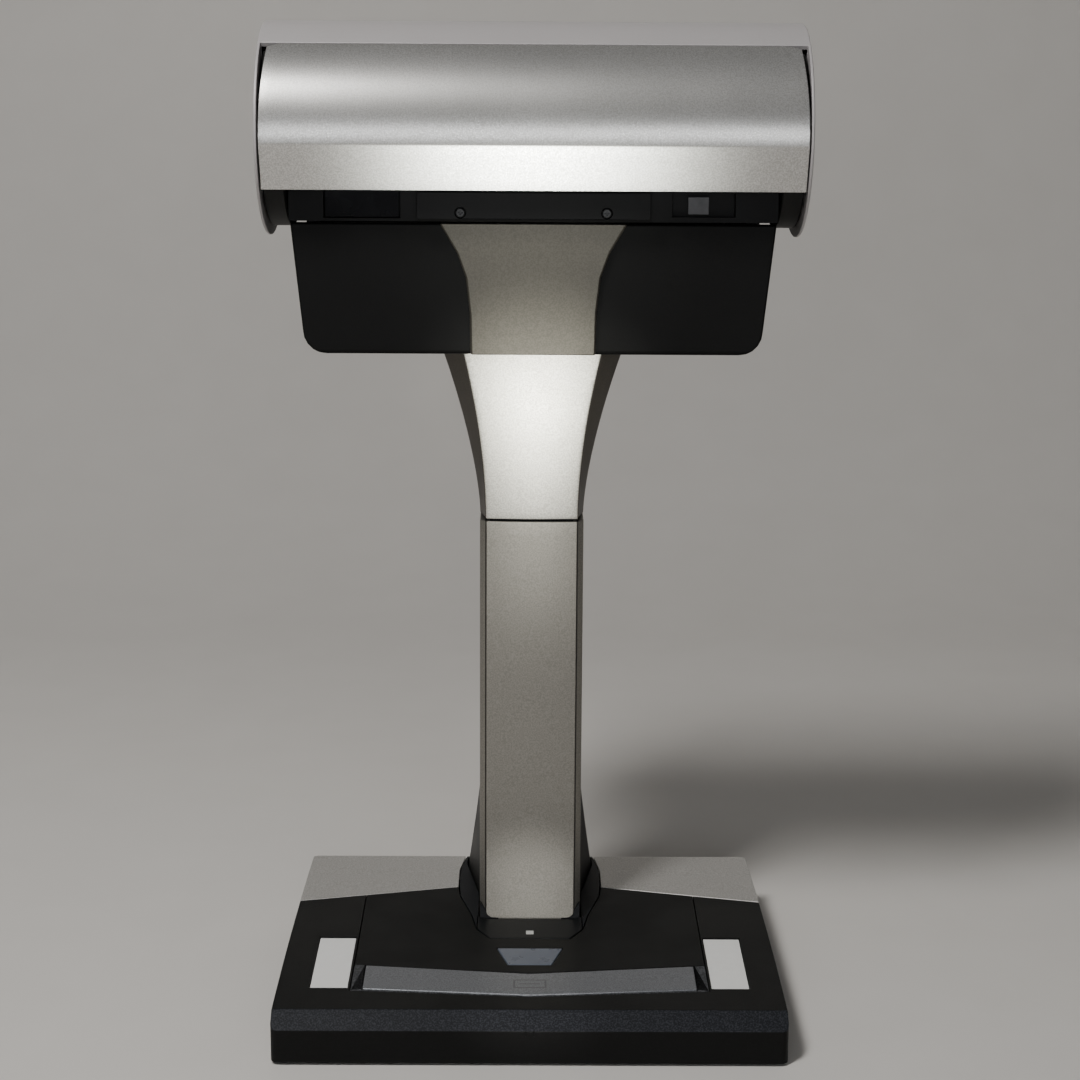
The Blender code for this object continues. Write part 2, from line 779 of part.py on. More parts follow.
def motor_pinion():
    """Brass pinion and shaft; one tooth points at the sector's centre at rest."""
    y, z = pinion_centre()
    outline = gear_teeth(y, z, PINION_TEETH, 0, PINION_TEETH, PINION_ANGLE + 180.0)
    pinion = prism("motor_pinion", [outline], GEAR_LEFT + 0.2, GEAR_RIGHT - 0.2, "X")
    shaft = tool([circle(y, z, 1.5, 12)], 71.9, GEAR_RIGHT - 1, "X")
    return finish(join(pinion, shaft), (0.6, 0.45, 0.15), 0.35, 1.0)


def motor_bracket():
    y, z = pinion_centre()
    foot = CHASSIS_FLOOR + CHASSIS_PLATE + GAP
    outline = [
        (-5, foot), (11, foot), (11.6, 311), (22, 317.6), (32, 327),
        (31, 340), (22, 343), (15.4, 338), (8, 326), (-5, 312),
    ]
    plate = prism("motor_bracket", [outline, circle(y, z, 2.0, 12)], 72.2, 74.2, "X")
    return bare_steel(plate)


def drive_motor():
    y, z = pinion_centre()
    body = prism("drive_motor", [circle(y, z, 11.4, 28)], 42.0, 71.6, "X")
    return finish(settled(round_edges(body, 1.0, 2), ()), (0.5, 0.5, 0.5), 0.35, 1.0)


# ---------------------------------------------------------------------------------- turning head

def head_point(degrees, inset=0.0):
    """A point (y, z) on the head's side profile; 0 is the rear, 90 the top, 180 the front."""
    turn = math.radians(degrees)
    rise = HEAD_RISE if math.sin(turn) >= 0 else HEAD_DROP
    y = HEAD_CENTRE_Y + (HEAD_RADIUS_Y - inset) * math.cos(turn)
    z = HEAD_CENTRE_Z + (rise - inset) * math.sin(turn)
    return y, z


def head_profile(inset):
    steps = 40
    return [head_point(360 * step / steps, inset) for step in range(steps)]


def head_shell():
    """Outer shell: skin over the top and back, and a full plate at each end."""
    shell = prism("head_shell", [head_profile(0.0)], -HEAD_HALF, HEAD_HALF, "X")
    shell = settled(round_edges(shell, HEAD_CORNER, 4, 50), ())
    inside = HEAD_HALF - 1.4
    cavity = prism("tool", [head_profile(HEAD_WALL)], -inside, inside, "X", CUTTERS)
    cavity = settled(round_edges(cavity, HEAD_CORNER - 1.2, 2, 50), ())
    visor_top = head_point(VISOR_TOP_ANGLE - 0.6)
    rear_lip = head_point(REAR_LIP_ANGLE)
    front_and_bottom = [
        (visor_top[0] + 3.4, visor_top[1] - 6.0),
        (visor_top[0] - 3.4, visor_top[1] + 6.0),
        (-60, 400),
        (-60, 300),
        (60, 300),
        (60, rear_lip[1] - 4),
        (rear_lip[0] - 6, rear_lip[1]),
        (0, 345),
    ]
    mouth = tool([front_and_bottom], -VISOR_HALF - GAP, VISOR_HALF + GAP, "X")
    shell = cut(shell, cavity, mouth)
    return finish(shell, (0.42, 0.4, 0.4), 0.5, 0.2)


def visor_half_width(z):
    crease_z = head_point(CREASE_ANGLE)[1]
    top_z = head_point(VISOR_TOP_ANGLE)[1]
    rise = max(0.0, (z - crease_z) / (top_z - crease_z))
    return VISOR_HALF - 0.3 - 2.1 * rise * rise


def visor_front_panel():
    """Front panel: a flat lower facet, a crease, and a face curving up and back."""
    rows = [head_point(LIP_ANGLE), head_point(CREASE_ANGLE)]
    curve_steps = 9
    for step in range(1, curve_steps + 1):
        angle = CREASE_ANGLE + (VISOR_TOP_ANGLE - CREASE_ANGLE) * step / curve_steps
        rows.append(head_point(angle))
    corner = head_point(VISOR_TOP_ANGLE + 2.2)
    rows.insert(-1, corner)
    widths = [visor_half_width(z) for _, z in rows]
    widths[-1] -= 4.5
    sections = []
    for (y, z), half in zip(rows, widths):
        sections.append([(half * share, y, z) for share in (-1, -0.5, 0, 0.5, 1)])
    return silver_paint(loft("visor_front_panel", sections, 1.9))


def end_cap(name, side):
    """Dark inner cap of the drum: closes the shell's end and carries the stub axle."""
    inner, outer = CAP_INNER, HEAD_HALF - 1.8
    low, high = sorted((side * inner, side * outer))
    cap = prism(name, [head_profile(3.5)], low, high, "X")
    cap = settled(round_edges(cap, 3.4, 2, 50), ())
    low, high = sorted((side * (inner + 2.0), side * (outer + 5)))
    pocket = [head_profile(6.0), circle(0, AXIS_Z, AXLE_RADIUS + 3.0, 24)]
    hole = tool([circle(0, AXIS_Z, AXLE_RADIUS + GAP, 24)], *sorted((side * 85, side * 110)), "X")
    return dark_grey_plastic(cut(cap, tool(pocket, low, high, "X"), hole))


def head_axle(name, side):
    low, high = sorted((side * 79.9, side * 98.6))
    return bare_steel(prism(name, [circle(0, AXIS_Z, AXLE_RADIUS, 24)], low, high, "X"))


def optics_frame():
    """Turning frame that carries the optics between the two axles."""
    frame = prism("optics_frame", [rectangle(-82.4, -31, 82.4, 4)], 331.0, 333.0)
    ends = []
    for side in (1, -1):
        outline = [(-30, 332), (3, 332), (7, 344), (7, 356), (-7, 356), (-30, 340)]
        low, high = sorted((side * 80.6, side * 82.4))
        hole = circle(0, AXIS_Z, AXLE_RADIUS + GAP, 24)
        ends.append(tool([outline, hole], low, high, "X"))
    return bare_steel(join(frame, *ends))


def optics_fascia():
    """Black strip under the visor with a pocket for the lamp and one for the sensor."""
    fascia = prism("optics_fascia", [rectangle(-80.0, 318.0, 80.0, 330.6)], -31.0, -26.0, "Y")
    lamp_pocket = tool([rectangle(-78.2, 319.2, -49.8, 329.6)], -40, -28.4, "Y")
    sensor_pocket = tool([rectangle(51.8, 320.0, 75.2, 328.6)], -40, -28.4, "Y")
    return black_plastic(cut(fascia, lamp_pocket, sensor_pocket))


def optics_bar():
    """Rounded bar in the middle of the fascia, held by two screws."""
    top_round = arc(-33.6, 328.4, 2.2, 90, 180, 4)
    outline = [(-31.3, 318.2), (-31.3, 330.6)] + top_round + [(-35.8, 319.4), (-34.8, 318.2)]
    screw_holes = []
    for x in (-BAR_SCREW_X, BAR_SCREW_X):
        screw_holes.append(tool([circle(x, BAR_SCREW_Z, 2.1, 12)], -40, -34.6, "Y"))
    bar = prism("optics_bar", [outline], -43.4, 43.4, "X")
    return black_plastic(cut(bar, *screw_holes))


def bar_screw(name, side):
    x = side * BAR_SCREW_X
    screw = prism(name, [circle(x, BAR_SCREW_Z, 1.7, 12)], -36.2, -34.9, "Y")
    slot = tool([rectangle(x - 1.2, BAR_SCREW_Z - 0.3, x + 1.2, BAR_SCREW_Z + 0.3)], -37, -35.8, "Y")
    return bare_steel(cut(screw, slot))


def lamp_window():
    pane = prism("lamp_window", [rectangle(-77.8, 319.6, -50.2, 329.2)], -30.4, -28.8, "Y")
    return finish(pane, (0.05, 0.05, 0.06), 0.1)


def sensor_window():
    pane = prism("sensor_window", [rectangle(57.6, 321.0, 65.4, 327.4)], -30.2, -28.8, "Y")
    return finish(pane, (0.3, 0.3, 0.32), 0.15)


def lens_barrel():
    body = prism("lens_barrel", [circle(0, 345.0, 8.5, 28)], -19.0, 0.0, "Y")
    bore = tool([circle(0, 345.0, 6.0, 24)], -25.0, -15.0, "Y")
    return finish(cut(body, bore), (0.02, 0.02, 0.02), 0.35, 0.3)


def fold_mirror():
    outline = [(-29.4, 340.4), (-27.6, 339.6), (-23.0, 351.2), (-24.8, 352.0)]
    return finish(prism("fold_mirror", [outline], -38, 38, "X"), (0.8, 0.82, 0.84), 0.05, 1.0)


def sensor_board():
    return circuit_board(prism("sensor_board", [rectangle(-40, 334, 40, 356)], 0.4, 2.0, "Y"))


def lamp_board():
    board = prism("lamp_board", [rectangle(-77, 319.5, -50, 329.5)], -25.6, -24.2, "Y")
    return circuit_board(board)


# ---------------------------------------------------------------------------------------- assembly

def pivot(name, place):
    """An empty on a joint's axis, which the moving pieces hang from."""
    holder = bpy.data.objects.new(name, None)
    holder.location = Vector(place) * MM
    PARTS.objects.link(holder)
    bpy.context.view_layer.update()
    return holder


def hang(holder, *pieces):
    for piece in pieces:
        piece.parent = holder
        piece.matrix_parent_inverse = holder.matrix_world.inverted()


def build_base():
    base_bottom_plate()
    base_screws()
    rubber_feet()
    base_chassis()
    main_board()
    tact_switch("scan_switch", 0, -50)
    tact_switch("stop_switch", 0, -3.5)
    power_jack()
    data_socket()
    base_top_cover()
    centre_panel()
    column_collar()
    power_lens()
    scan_button_channel()
    for name, side in (("left", -1), ("right", 1)):
        rear_trim("rear_trim_" + name, side)
        white_reference("white_reference_" + name, side)
    hang(pivot("scan_button_pivot", (0, -50, 21)), scan_button())
    hang(pivot("stop_button_pivot", (0, -3.5, 22)), stop_button())


def build_column():
    column_core()
    column_cable()
    shade_round(column_front_cover())
    shade_round(column_rear_cover())
    shade_round(neck_front_cover())
    shade_round(neck_rear_cover())


def build_chin():
    shade_round(chin_cover("chin_front_cover", True))
    shade_round(chin_cover("chin_rear_cover", False))
    chin_centre_plate()
    head_chassis()
    motor_bracket()
    shade_round(drive_motor())
    axle_bush("axle_bush_left", -1)
    axle_bush("axle_bush_right", 1)
    y, z = pinion_centre()
    hang(pivot("motor_pivot", (GEAR_LEFT, y, z)), motor_pinion())


def build_head():
    pieces = [
        shade_round(head_shell()),
        shade_round(visor_front_panel()),
        shade_round(end_cap("end_cap_left", -1)),
        shade_round(end_cap("end_cap_right", 1)),
        head_axle("head_axle_left", -1),
        head_axle("head_axle_right", 1),
        optics_frame(),
        sector_gear(),
        optics_fascia(),
        optics_bar(),
        bar_screw("bar_screw_left", -1),
        bar_screw("bar_screw_right", 1),
        lamp_window(),
        lamp_board(),
        sensor_window(),
        lens_barrel(),
        fold_mirror(),
        sensor_board(),
    ]
    hang(pivot("head_pivot", (0, 0, AXIS_Z)), *pieces)


build_base()
build_column()
build_chin()
build_head()
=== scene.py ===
"""Desktop overhead book scanner: its finished surfaces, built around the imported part.

The pieces follow the order in which the scanner goes together: base, keys, column, neck, chin
housing, drive, optics, turning head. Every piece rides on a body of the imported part.
"""

import json
import math

import bmesh
import bpy
from mathutils import Matrix, Vector


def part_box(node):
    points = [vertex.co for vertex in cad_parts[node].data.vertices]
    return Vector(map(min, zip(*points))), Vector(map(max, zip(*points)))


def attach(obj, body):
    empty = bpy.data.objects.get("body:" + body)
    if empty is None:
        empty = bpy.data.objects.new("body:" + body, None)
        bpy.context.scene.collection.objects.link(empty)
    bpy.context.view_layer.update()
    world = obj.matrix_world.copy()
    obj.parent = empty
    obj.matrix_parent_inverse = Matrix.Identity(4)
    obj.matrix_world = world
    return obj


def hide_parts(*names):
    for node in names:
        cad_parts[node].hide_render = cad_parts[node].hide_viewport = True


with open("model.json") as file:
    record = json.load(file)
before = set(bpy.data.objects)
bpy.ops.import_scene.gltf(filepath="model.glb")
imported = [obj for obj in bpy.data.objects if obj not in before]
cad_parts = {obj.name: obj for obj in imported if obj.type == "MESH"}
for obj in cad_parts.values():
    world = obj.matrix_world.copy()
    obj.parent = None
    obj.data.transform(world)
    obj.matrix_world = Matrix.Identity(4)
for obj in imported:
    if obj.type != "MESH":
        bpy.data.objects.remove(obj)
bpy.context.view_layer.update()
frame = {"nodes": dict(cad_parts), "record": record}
scene = bpy.context.scene
MM = 0.001

# ------------------------------
# Camera, floor and light. The scanner stands on a pale floor that sweeps up into a pale backdrop.
# The camera is a little above the head, about 0.85 m in front, looking down on the base.
CAMERA_PLACE = Vector((-0.00194, -0.8422, 0.3805))
CAMERA_PITCH = math.radians(12.79)
CAMERA_YAW = math.radians(0.356)
CAMERA_ROLL = math.radians(0.344)
CAMERA_LENS = 71.93
FLOOR_COLOUR = (0.62, 0.595, 0.56)
FLOOR_LIGHTER = (0.66, 0.635, 0.6)
FLOOR_HALF = 4.0
SWEEP_START = 0.55
SWEEP_RADIUS = 0.5
SWEEP_STEPS = 12
BACKDROP_TOP = 3.5
SPOT_RADIUS = 0.03
WARM_WHITE = (1.0, 0.99, 0.975)
COOL_WHITE = (0.95, 0.97, 1.0)
ROOM_TINT = (0.8, 0.82, 0.85)
ROOM_STRENGTH = 0.11

ahead = Vector((
    math.sin(CAMERA_YAW) * math.cos(CAMERA_PITCH),
    math.cos(CAMERA_YAW) * math.cos(CAMERA_PITCH),
    -math.sin(CAMERA_PITCH),
))
level_right = ahead.cross(Vector((0, 0, 1))).normalized()
level_up = level_right.cross(ahead)
right = level_right * math.cos(CAMERA_ROLL) + level_up * math.sin(CAMERA_ROLL)
up = right.cross(ahead)
camera = bpy.data.objects.new("camera", bpy.data.cameras.new("camera"))
camera.data.lens = CAMERA_LENS
camera.data.sensor_width = 36.0
camera.data.clip_start = 0.05
camera.matrix_world = Matrix.Translation(CAMERA_PLACE) @ Matrix((right, up, -ahead)).transposed().to_4x4()
scene.collection.objects.link(camera)
scene.camera = camera


class Amount:
    """A shader value that takes arithmetic: each operation adds its Math node."""

    def __init__(self, finish, socket):
        self.finish = finish
        self.socket = socket

    def maths(self, operation, *values):
        inputs = dict(enumerate(values))
        return self.finish.add("ShaderNodeMath", {"operation": operation}, inputs)

    def __add__(self, other):
        return self.maths("ADD", self, other)

    def __sub__(self, other):
        return self.maths("SUBTRACT", self, other)

    def __rsub__(self, other):
        return self.maths("SUBTRACT", other, self)

    def __mul__(self, other):
        return self.maths("MULTIPLY", self, other)

    __radd__ = __add__
    __rmul__ = __mul__

    def between(self, low, high):
        """0 at low and 1 at high, smoothly."""
        inputs = {"Value": self, "From Min": low, "From Max": high}
        return self.finish.add("ShaderNodeMapRange", {"interpolation_type": "SMOOTHSTEP"}, inputs)

    def inside(self, low, high, soft):
        """1 between low and high, falling to 0 over soft on either side."""
        return self.between(low - soft, low) * (1 - self.between(high, high + soft))


SHADER_SOCKETS = {
    "base_color": "Base Color",
    "roughness": "Roughness",
    "normal": "Normal",
    "coat_weight": "Coat Weight",
    "coat_roughness": "Coat Roughness",
    "specular_ior_level": "Specular IOR Level",
}


class Finish:
    """A material whose pattern is laid out in the object's own coordinates."""

    def __init__(self, name, colour, roughness, metallic=0.0, **uniform):
        self.material = bpy.data.materials.new(name)
        self.material.use_nodes = True
        self.tree = self.material.node_tree
        self.shader = self.tree.nodes["Principled BSDF"]
        self.shader.inputs["Base Color"].default_value = (*colour, 1)
        self.shader.inputs["Roughness"].default_value = roughness
        self.shader.inputs["Metallic"].default_value = metallic
        for socket, value in uniform.items():
            self.shader.inputs[SHADER_SOCKETS[socket]].default_value = value
        self.place = self.raw("ShaderNodeTexCoord").outputs["Object"]

    def raw(self, kind, settings=None, inputs=None):
        """Any node: its settings first, a ramp's stops among them, then values or links."""
        node = self.tree.nodes.new(kind)
        for setting, value in (settings or {}).items():
            if setting == "stops":
                for stop, (position, shade) in zip(node.color_ramp.elements, value):
                    stop.position = position
                    stop.color = (shade, shade, shade, 1)
            else:
                setattr(node, setting, value)
        for name, value in (inputs or {}).items():
            source = value.socket if isinstance(value, Amount) else value
            if isinstance(source, bpy.types.NodeSocket):
                self.tree.links.new(source, node.inputs[name])
            else:
                node.inputs[name].default_value = source
        return node

    def add(self, kind, settings=None, inputs=None):
        return Amount(self, self.raw(kind, settings, inputs).outputs[0])

    def noise(self, size_mm, detail=2.0, stretch=(1, 1, 1)):
        """Soft random spots about size_mm across, stretched along an axis by a share under 1."""
        place = self.raw("ShaderNodeMapping", None, {"Vector": self.place, "Scale": stretch}).outputs[0]
        inputs = {"Vector": place, "Scale": 1000.0 / size_mm, "Detail": detail}
        return self.add("ShaderNodeTexNoise", None, inputs)

    def along(self, axis):
        """The place along X, Y or Z, in metres."""
        split = self.raw("ShaderNodeSeparateXYZ", None, {"Vector": self.place})
        return Amount(self, split.outputs[axis])

    def patch(self, left, near, right_end, far, soft_mm):
        """1 inside a rectangle seen from above and 0 outside, its sides in millimetres."""
        across = self.along(0).inside(left * MM, right_end * MM, soft_mm * MM)
        return across * self.along(1).inside(near * MM, far * MM, soft_mm * MM)

    def mix(self, share, first, second):
        """A colour between two, each a colour or a link."""
        node = self.raw("ShaderNodeMix", {"data_type": "RGBA"}, {0: share})
        for slot, value in ((6, first), (7, second)):
            if isinstance(value, Amount):
                self.tree.links.new(value.socket, node.inputs[slot])
            else:
                node.inputs[slot].default_value = (*value, 1)
        return Amount(self, node.outputs[2])

    def feed(self, **varying):
        for socket, value in varying.items():
            self.tree.links.new(value.socket, self.shader.inputs[SHADER_SOCKETS[socket]])
        return self

    def bump(self, height, depth_mm, strength=1.0):
        inputs = {"Height": height, "Distance": depth_mm * MM, "Strength": strength}
        return self.feed(normal=self.add("ShaderNodeBump", None, inputs))


floor_finish = Finish("pale_floor", FLOOR_COLOUR, 0.6)
floor_spots = floor_finish.noise(40, 3)
floor_finish.feed(base_color=floor_finish.mix(floor_spots, FLOOR_COLOUR, FLOOR_LIGHTER))
floor_mesh = bpy.data.meshes.new("floor")
floor_work = bmesh.new()
sweep = [(-FLOOR_HALF, 0.0), (SWEEP_START, 0.0)]
for step in range(1, SWEEP_STEPS + 1):
    turn = math.pi / 2 * step / SWEEP_STEPS
    sweep.append((SWEEP_START + SWEEP_RADIUS * math.sin(turn), SWEEP_RADIUS * (1 - math.cos(turn))))
sweep.append((SWEEP_START + SWEEP_RADIUS, BACKDROP_TOP))
rows = [[floor_work.verts.new((x, y, z)) for x in (-FLOOR_HALF, FLOOR_HALF)] for y, z in sweep]
for near, far in zip(rows, rows[1:]):
    floor_work.faces.new((near[0], near[1], far[1], far[0]))
floor_work.to_mesh(floor_mesh)
floor_work.free()
floor_mesh.shade_smooth()
floor_mesh.materials.append(floor_finish.material)
floor = bpy.data.objects.new("floor", floor_mesh)
scene.collection.objects.link(floor)


def add_light(name, kind, place, aim, watts, colour):
    """A light at place that faces aim."""
    data = bpy.data.lights.new(name, kind)
    data.energy = watts
    data.color = colour
    light = bpy.data.objects.new(name, data)
    facing = (Vector(aim) - Vector(place)).to_track_quat("-Z", "Y").to_matrix().to_4x4()
    light.matrix_world = Matrix.Translation(place) @ facing
    scene.collection.objects.link(light)
    return data


def panel_light(name, place, aim, size, watts, colour):
    """A soft rectangular light."""
    data = add_light(name, "AREA", place, aim, watts, colour)
    data.shape = "RECTANGLE"
    data.size, data.size_y = size


def spot_light(name, place, aim, cone, watts, colour, softness=1.0):
    """A narrow soft-edged spot that lifts one area."""
    data = add_light(name, "SPOT", place, aim, watts, colour)
    data.spot_size = math.radians(cone)
    data.spot_blend = softness
    data.shadow_soft_size = SPOT_RADIUS


panel_light("key", (-0.46, -0.62, 1.2), (-0.03, 0, 0.3), (0.2, 0.34), 14.5, WARM_WHITE)
panel_light("front_fill", (0.0, -1.5, 0.46), (0, 0, 0.2), (1.0, 0.3), 4, COOL_WHITE)
spot_light("low_front", (0.0, -0.42, 0.03), (0, -0.045, 0.338), 17, 7, (0.97, 1.0, 0.93))
spot_light("neck_light", (0.02, -0.84, 0.25), (0, 0.018, 0.243), 4.6, 36, (1.0, 1.0, 0.9), 0.7)
spot_light("column_light", (0.02, -0.84, 0.25), (0, 0.018, 0.19), 6.5, 9, (1.0, 1.0, 0.93))
spot_light("foot_light", (0.0, -0.8, 0.12), (0, 0.012, 0.027), 2.2, 90, (1.0, 0.99, 0.96))

world = bpy.data.worlds.new("studio")
world.use_nodes = True
room = world.node_tree.nodes["Background"]
room.inputs["Color"].default_value = (*ROOM_TINT, 1)
room.inputs["Strength"].default_value = ROOM_STRENGTH
scene.world = world

# ------------------------------
# Base, inside: a heavy painted steel plate on a black floor plate, the main board with its two
# key switches, and the two sockets at the rear. Stamped, moulded or soldered, and screwed together.
STEEL = (0.46, 0.455, 0.45)
RESIST_GREEN = (0.012, 0.11, 0.045)
TRACK_GREEN = (0.03, 0.2, 0.08)

body_of = {
    node: body
    for body, nodes in frame["record"]["behaviour"]["bodies"].items()
    for node in nodes
}


def steel(name, colour=STEEL, grain_mm=1.2, brushed=(1, 1, 1), roughness=0.34):
    """Bare metal with fine drawn grain and a few duller patches."""
    finish = Finish(name, colour, roughness, 1.0)
    grain = finish.noise(grain_mm, 3, brushed)
    patches = finish.noise(18, 3)
    dull = tuple(0.78 * channel for channel in colour)
    finish.feed(
        base_color=finish.mix(patches.between(0.35, 0.7), colour, dull),
        roughness=roughness - 0.06 + 0.12 * grain + 0.08 * patches,
    )
    return finish.bump(grain, 0.012, 0.5).material


LOW_SHEEN = {"specular_ior_level": 0.12}


def moulding(name, colour, roughness, texture_mm, depth_mm, wear=1.6, metallic=0.0, **uniform):
    """Moulded plastic with an even spark texture, and slightly polished where it is handled."""
    finish = Finish(name, colour, roughness, metallic, **uniform)
    texture = finish.noise(texture_mm, 2)
    handled = finish.noise(35, 3)
    lighter = tuple(min(1.0, wear * channel) for channel in colour)
    finish.feed(
        base_color=finish.mix(texture.between(0.3, 0.75) * 0.5 + handled * 0.18, colour, lighter),
        roughness=roughness + 0.05 - 0.1 * handled.between(0.3, 0.7),
    )
    return finish.bump(texture, depth_mm, 0.8).material


def dress(material, *nodes):
    """A part's own mesh is kept, and takes this material in its slots."""
    for node in nodes:
        mesh = frame["nodes"][node].data
        mesh.materials.clear()
        mesh.materials.append(material)


def new_piece(name, mesh, material):
    piece = bpy.data.objects.new(name, mesh)
    scene.collection.objects.link(piece)
    mesh.materials.clear()
    mesh.materials.append(material)
    return piece


def settled(piece):
    """The piece with its modifiers worked into a plain mesh."""
    graph = bpy.context.evaluated_depsgraph_get()
    mesh = bpy.data.meshes.new_from_object(piece.evaluated_get(graph))
    piece.modifiers.clear()
    piece.data = mesh
    mesh.name = piece.name
    return piece


def cut(piece, cutters, operation="DIFFERENCE"):
    """The piece with the cutters taken out of it; the cutters go."""
    for cutter in cutters:
        boolean = piece.modifiers.new("cut", "BOOLEAN")
        boolean.operation = operation
        boolean.solver = "EXACT"
        boolean.object = cutter
    settled(piece)
    for cutter in cutters:
        bpy.data.objects.remove(cutter, do_unlink=True)
    return piece


def eased(piece, edge_mm, angle=30, segments=3, cutters=()):
    """Edges sharper than angle are rounded, any grooves cut, and flat faces stay flat in the light."""
    bevel = piece.modifiers.new("eased_edges", "BEVEL")
    bevel.width = edge_mm * MM
    bevel.segments = segments
    bevel.limit_method = "ANGLE"
    bevel.angle_limit = math.radians(angle)
    bevel.use_clamp_overlap = False
    settled(piece)
    cut(piece, cutters)
    piece.data.shade_smooth()
    piece.data.set_sharp_from_angle(angle=math.radians(angle + 15))
    even = piece.modifiers.new("even_faces", "WEIGHTED_NORMAL")
    even.keep_sharp = True
    return settled(piece)


def merged(node):
    """A copy of a part's mesh with its triangles joined into flat faces."""
    mesh = frame["nodes"][node].data.copy()
    work = bmesh.new()
    work.from_mesh(mesh)
    bmesh.ops.remove_doubles(work, verts=work.verts, dist=0.002 * MM)
    bmesh.ops.dissolve_limit(work, angle_limit=math.radians(0.6), verts=work.verts, edges=work.edges)
    bmesh.ops.recalc_face_normals(work, faces=work.faces)
    work.to_mesh(mesh)
    work.free()
    return mesh


def stand_in(piece, *nodes):
    """The piece is shown for these nodes and rides on their body."""
    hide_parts(*nodes)
    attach(piece, body_of[nodes[0]])
    return piece


def refined(node, material, edge_mm, angle=30, segments=3):
    """A part's own form with its edges eased."""
    piece = new_piece(node + "_surface", merged(node), material)
    return stand_in(eased(piece, edge_mm, angle, segments), node)


plate_steel = steel("plate_steel")
dress(plate_steel, "base_chassis")
underside_plastic = moulding("underside_plastic", (0.008, 0.008, 0.0085), 0.62, 0.5, 0.03, **LOW_SHEEN)
refined("base_bottom_plate", underside_plastic, 0.25)

board_resist = Finish("board_resist", RESIST_GREEN, 0.32, coat_weight=0.4)
tracks = board_resist.noise(2.2, 0, (1, 0.12, 1)).between(0.5, 0.54)
cross_tracks = board_resist.noise(2.6, 0, (0.12, 1, 1)).between(0.52, 0.56)
board_resist.feed(
    base_color=board_resist.mix(tracks.maths("MAXIMUM", tracks, cross_tracks), RESIST_GREEN, TRACK_GREEN),
    roughness=0.3 + 0.15 * board_resist.noise(6, 2),
)
dress(board_resist.material, "main_board", "sensor_board", "lamp_board")

switch_plastic = moulding("switch_plastic", (0.03, 0.03, 0.032), 0.45, 0.4, 0.01)
dress(switch_plastic, "scan_switch", "stop_switch")
refined("power_jack", moulding("socket_plastic", (0.012, 0.012, 0.012), 0.4, 0.6, 0.01), 0.25)
refined("data_socket", steel("plated_shell", (0.6, 0.6, 0.61), 0.8), 0.2)


class Grower:
    """A Geometry Nodes tree with named inputs that ends in real faces in its finish."""

    def __init__(self, name, **given):
        self.tree = bpy.data.node_groups.new(name, "GeometryNodeTree")
        for label, kind in given.items():
            self.tree.interface.new_socket(label, in_out="INPUT", socket_type="NodeSocket" + kind)
        self.tree.interface.new_socket("Geometry", in_out="OUTPUT", socket_type="NodeSocketGeometry")
        self.given = self.tree.nodes.new("NodeGroupInput").outputs

    def add(self, kind, settings=None, inputs=None):
        """Any node: its settings first, then values, links or names of the tree's own inputs."""
        node = self.tree.nodes.new(kind)
        for setting, value in (settings or {}).items():
            setattr(node, setting, value)
        for name, value in (inputs or {}).items():
            for source in value if isinstance(value, list) else [value]:
                source = self.given[source] if isinstance(source, str) else source
                if isinstance(source, bpy.types.NodeSocket):
                    self.tree.links.new(source, node.inputs[name])
                else:
                    node.inputs[name].default_value = source
        return node.outputs[0]

    def maths(self, operation, first, second):
        return self.add("ShaderNodeMath", {"operation": operation}, {0: first, 1: second})

    def vector(self, x, y, z):
        return self.add("ShaderNodeCombineXYZ", None, {0: x, 1: y, 2: z})

    def moved(self, geometry, offset):
        return self.add("GeometryNodeTransform", None, {"Geometry": geometry, "Translation": offset})

    def joined(self, operation, inputs):
        settings = {"operation": operation, "solver": "EXACT"}
        return self.add("GeometryNodeMeshBoolean", settings, inputs)

    def done(self, instances):
        """The tree, with its instances made real and given the finish."""
        real = self.add("GeometryNodeRealizeInstances", None, {"Geometry": instances})
        painted = self.add("GeometryNodeSetMaterial", None, {"Geometry": real, "Material": "Finish"})
        self.tree.links.new(painted, self.tree.nodes.new("NodeGroupOutput").inputs["Geometry"])
        return self.tree


def chip_scatter():
    """Small parts set out over a board: the board's area is sprinkled with little blocks."""
    grow = Grower(
        "chip_scatter",
        Width="Float", Depth="Float", Chip="Float", Corner="Vector", Seed="Int", Finish="Material",
    )
    board = grow.add("GeometryNodeMeshGrid", None, {
        "Vertices X": 2, "Vertices Y": 2, "Size X": "Width", "Size Y": "Depth",
    })
    spots = grow.add("GeometryNodeDistributePointsOnFaces", {"distribute_method": "POISSON"}, {
        "Mesh": board,
        "Seed": "Seed",
        "Density Max": CHIP_DENSITY,
        "Distance Min": grow.maths("MULTIPLY", "Chip", CHIP_SPREAD),
    })
    chip = grow.add("GeometryNodeMeshCube", None, {"Size": (1, 1, 1)})
    size = grow.add("FunctionNodeRandomValue", {"data_type": "FLOAT_VECTOR"}, {
        0: CHIP_LEAST, 1: CHIP_MOST, "Seed": "Seed",
    })
    scale = grow.add("ShaderNodeVectorMath", {"operation": "SCALE"}, {0: size, "Scale": "Chip"})
    placed = grow.add("GeometryNodeInstanceOnPoints", None, {
        "Points": spots, "Instance": chip, "Scale": scale,
    })
    return grow.done(grow.moved(placed, "Corner"))


def grown_from(tree, name, values, points=()):
    """A plain mesh object made by a node tree from its named inputs."""
    mesh = bpy.data.meshes.new(name)
    mesh.from_pydata([Vector(point) * MM for point in points], [], [])
    piece = bpy.data.objects.new(name, mesh)
    scene.collection.objects.link(piece)
    modifier = piece.modifiers.new(name, "NODES")
    modifier.node_group = tree
    for item in tree.interface.items_tree:
        if item.item_type == "SOCKET" and item.in_out == "INPUT" and item.name in values:
            modifier[item.identifier] = values[item.name]
    return settled(piece)


